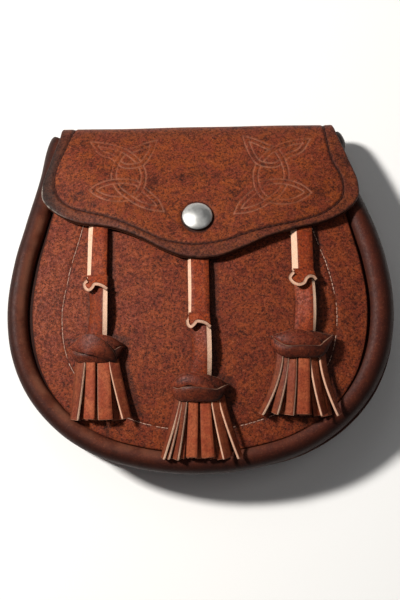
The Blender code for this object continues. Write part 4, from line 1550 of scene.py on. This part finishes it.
BEHIND = [
    Strip(-7.4, -9.8, 2.6, 3.0, -20), Strip(-4.2, -6.0, 2.6, 3.2, -8), Strip(0.2, 0.8, 2.6, 3.2, 0),
    Strip(4.6, 7.6, 2.6, 3.2, 8), Strip(7.6, 11.0, 2.6, 3.0, 20),
]  # fmt: skip
STRIP_THICK = 1.2
STRIP_LIFT = 6.2
BEHIND_TOP = 2.0
TOP_FALL = 2.6  # the outer strips lie this much lower at their tops
RIPPLE = 0.35
FRINGE_TOP = 4.4
BEHIND_SEED = 40


def hang(heap, thong, strip, top_lift, foot_lift, seed, dark=False):
    """Adds one strip that stands top_lift off the front at its top and foot_lift at its foot."""
    fringe = FRINGES[thong.side]
    chance = np.random.default_rng(seed)
    share = np.linspace(0, 1, 30)
    foot = fringe.foot + chance.normal() * 0.25
    across = thong.head_across + strip.top + (strip.foot - strip.top) * share**fringe.flare
    up = thong.head - (FRINGE_TOP + (foot - FRINGE_TOP) * share)
    lift = top_lift + (foot_lift - top_lift) * share + RIPPLE * np.sin(share * 6 + seed)
    turned = np.radians(strip.turn) * (0.55 + 0.45 * share)
    front = facing_at(across, up)
    east = unit(np.cross((0.0, 1.0, 0.0), front))
    facing = east * np.sin(turned)[:, None] + front * np.cos(turned)[:, None]
    half = strip.half_top + (strip.half_foot - strip.half_top) * share
    pale = (0.0, 0.0) if dark else (0.7 * (strip.turn > 5), 1.0 * (strip.turn < -5))
    shade = min(abs(strip.turn) / 45, 1) * (0.65 if strip.turn < 0 else 0.4)
    path = on_front(across, up, lift)
    strap(heap, path, facing, half, STRIP_THICK, 0.1, 0.1, raw=pale, end_raw=0.3, dark=shade)


for number, thong in enumerate(THONGS):
    heap = Heap()
    fringe = FRINGES[thong.side]
    for k, strip in enumerate(BEHIND):
        hang(heap, thong, strip, BEHIND_TOP, fringe.behind_lift, BEHIND_SEED + k, dark=True)
    for k, strip in enumerate(fringe.strips):
        outer = abs(strip.foot) / thong.foot_half
        foot_lift = STRIP_LIFT - (2.2 if strip.foot < 0 else 0.8) * outer
        hang(heap, thong, strip, STRIP_LIFT - TOP_FALL * outer, foot_lift, number * 10 + k)
    name = "tassel_fringe_" + thong.side
    heap.make(name, hides["fringe_leather"], "fringe_leather", name)

# %% [markdown]
# ## Press stud
# The cap is pressed from sheet metal: a shallow dome whose rim turns down into the leather. It is turned from
# a profile of radius and height. The half on the front panel is hidden by the flap, so the packed model's own
# mesh stays, with the same metal on it.

# %% Press stud
CAP_SIDES = 96
CAP_DOME = 2.37
DOME_RADIUS = 7.4
CAP_RIM = 0.35
POST = 1.7
SOCKET = 5.2
SOCKET_DEEP = 1.3
SHADED_RIM_FROM = 7.36
Turning = namedtuple("Turning", "radius height")
seat = PANEL / 2 + GAP + 0.25
foot = -PANEL / 2 - GAP
profile = [Turning(0.02, seat + CAP_RIM + CAP_DOME)]
for bend in np.linspace(0.0, math.pi / 2, 23)[1:]:
    height = seat + CAP_RIM + CAP_DOME * math.cos(bend) ** 1.5
    profile.append(Turning(DOME_RADIUS * math.sin(bend), height))
for radius, above in ((7.5, 0.25), (7.6, 0.1), (7.6, 0.0), (7.5, -0.1), (6.8, -0.2), (POST, -0.2)):
    profile.append(Turning(radius, seat + above))
for radius, below in ((POST, 0.0), (SOCKET, 0.0), (SOCKET, SOCKET_DEEP), (0.02, SOCKET_DEEP)):
    profile.append(Turning(radius, foot - below))

slope = -math.atan(float(front_height(0.0, SNAP_UP - 0.5) - front_height(0.0, SNAP_UP + 0.5)))
turn = np.arange(CAP_SIDES) / CAP_SIDES * 2 * math.pi
cap_middle = np.array([0.0, SNAP_UP, float(flap_height(np.array(0.0), np.array(SNAP_UP)))])
rings = []
for radius, height in profile:
    rise = radius * np.sin(turn)
    up = rise * math.cos(slope) - height * math.sin(slope)
    over = rise * math.sin(slope) + height * math.cos(slope)
    rings.append(cap_middle + np.stack([radius * np.cos(turn), up, over], axis=1))
# The cap's rim is painted dark: painted shade where it turns down into the leather.
shaded_rim = [float(row.radius > SHADED_RIM_FROM) for row in profile]
cap = Heap()
cap.tube(rings, groove=np.repeat(shaded_rim, CAP_SIDES))
cap.make("snap_cap", nickel, "nickel", "snap_cap", sharp=40)
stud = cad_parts["snap_stud"]
stud.data.materials.clear()
stud.data.materials.append(nickel)

# %% [markdown]
# ## Belt loops and the seams on the back
# Nothing of the back shows in the photograph. It is finished plainly: two straps sewn down at both ends, with
# room for a belt between them and the back, and one line of stitches where the gusset's flange is sewn on.

# %% Belt loops
LOOP_SEWN = BACK_UNDER - GAP - LOOP / 2
LOOP_ACROSS = 40.0
LOOP_HALF = 12.5
SEAM_HALF = 10
Rise = namedtuple("Rise", "up height")
LOOP_PATH = [Rise(up, LOOP_SEWN) for up in (53.0, 48.0, 43.0)]
LOOP_PATH += [Rise(up, LOOP / 2) for up in (36.0, 25.0, 11.0, -3.0, -14.0)]
LOOP_PATH += [Rise(up, LOOP_SEWN) for up in (-21.0, -26.0, -31.0)]


def level_at(height):
    """A level surface for stitches to be sewn in."""
    return lambda across, up: np.full_like(up, height)


seams = Heap()
for side, sign in (("left", -1), ("right", 1)):
    path = along([(sign * LOOP_ACROSS, *row) for row in LOOP_PATH], 90)
    path[:, 2] = np.clip(path[:, 2], LOOP / 2, LOOP_SEWN)
    heap = Heap()
    strap(heap, path, (0.0, 0.0, -1.0), LOOP_HALF, LOOP, raw=(0.35, 0.35), end_raw=0.35)
    heap.make("belt_loop_" + side, hides["roll_leather"], "roll_leather", "belt_loop_" + side)
    for low, high in ((45.0, 50.5), (-28.5, -23.0)):
        corners = [(-SEAM_HALF, low), (SEAM_HALF, low), (SEAM_HALF, high), (-SEAM_HALF, high)]
        for one, two in zip(corners, corners[1:] + corners[:1]):
            line = np.linspace(one, two, 40) + [sign * LOOP_ACROSS, 0.0]
            under = level_at(LOOP_SEWN - LOOP / 2)
            stitches(
                seams, line, under, spacing=2.8, length=2.1, thick=THREAD_THICK, sunk=-0.02,
                wobble=0.05, seed=int(abs(low)),
            )  # fmt: skip
angles = np.linspace(-ROW_ANGLES[BACK_TURN], ROW_ANGLES[BACK_TURN], 2000)
line = outline_at(angles, 3.0 - column("grow", angles))
stitches(
    seams, line, level_at(BACK_UNDER), spacing=3.4, length=2.5, thick=THREAD_THICK, sunk=-0.05,
    wobble=0.08, seed=9,
)  # fmt: skip
seams.make("back_stitching", dark_thread, "roll_leather")

# %% [markdown]
# ## Box
# The packed model's box is printed. The looks may stand a little outside the packed model's box, but only
# a little.

# %% Finish
print("box sides in mm, packed", [round(side * 1000, 1) for side in cad_box[1] - cad_box[0]])
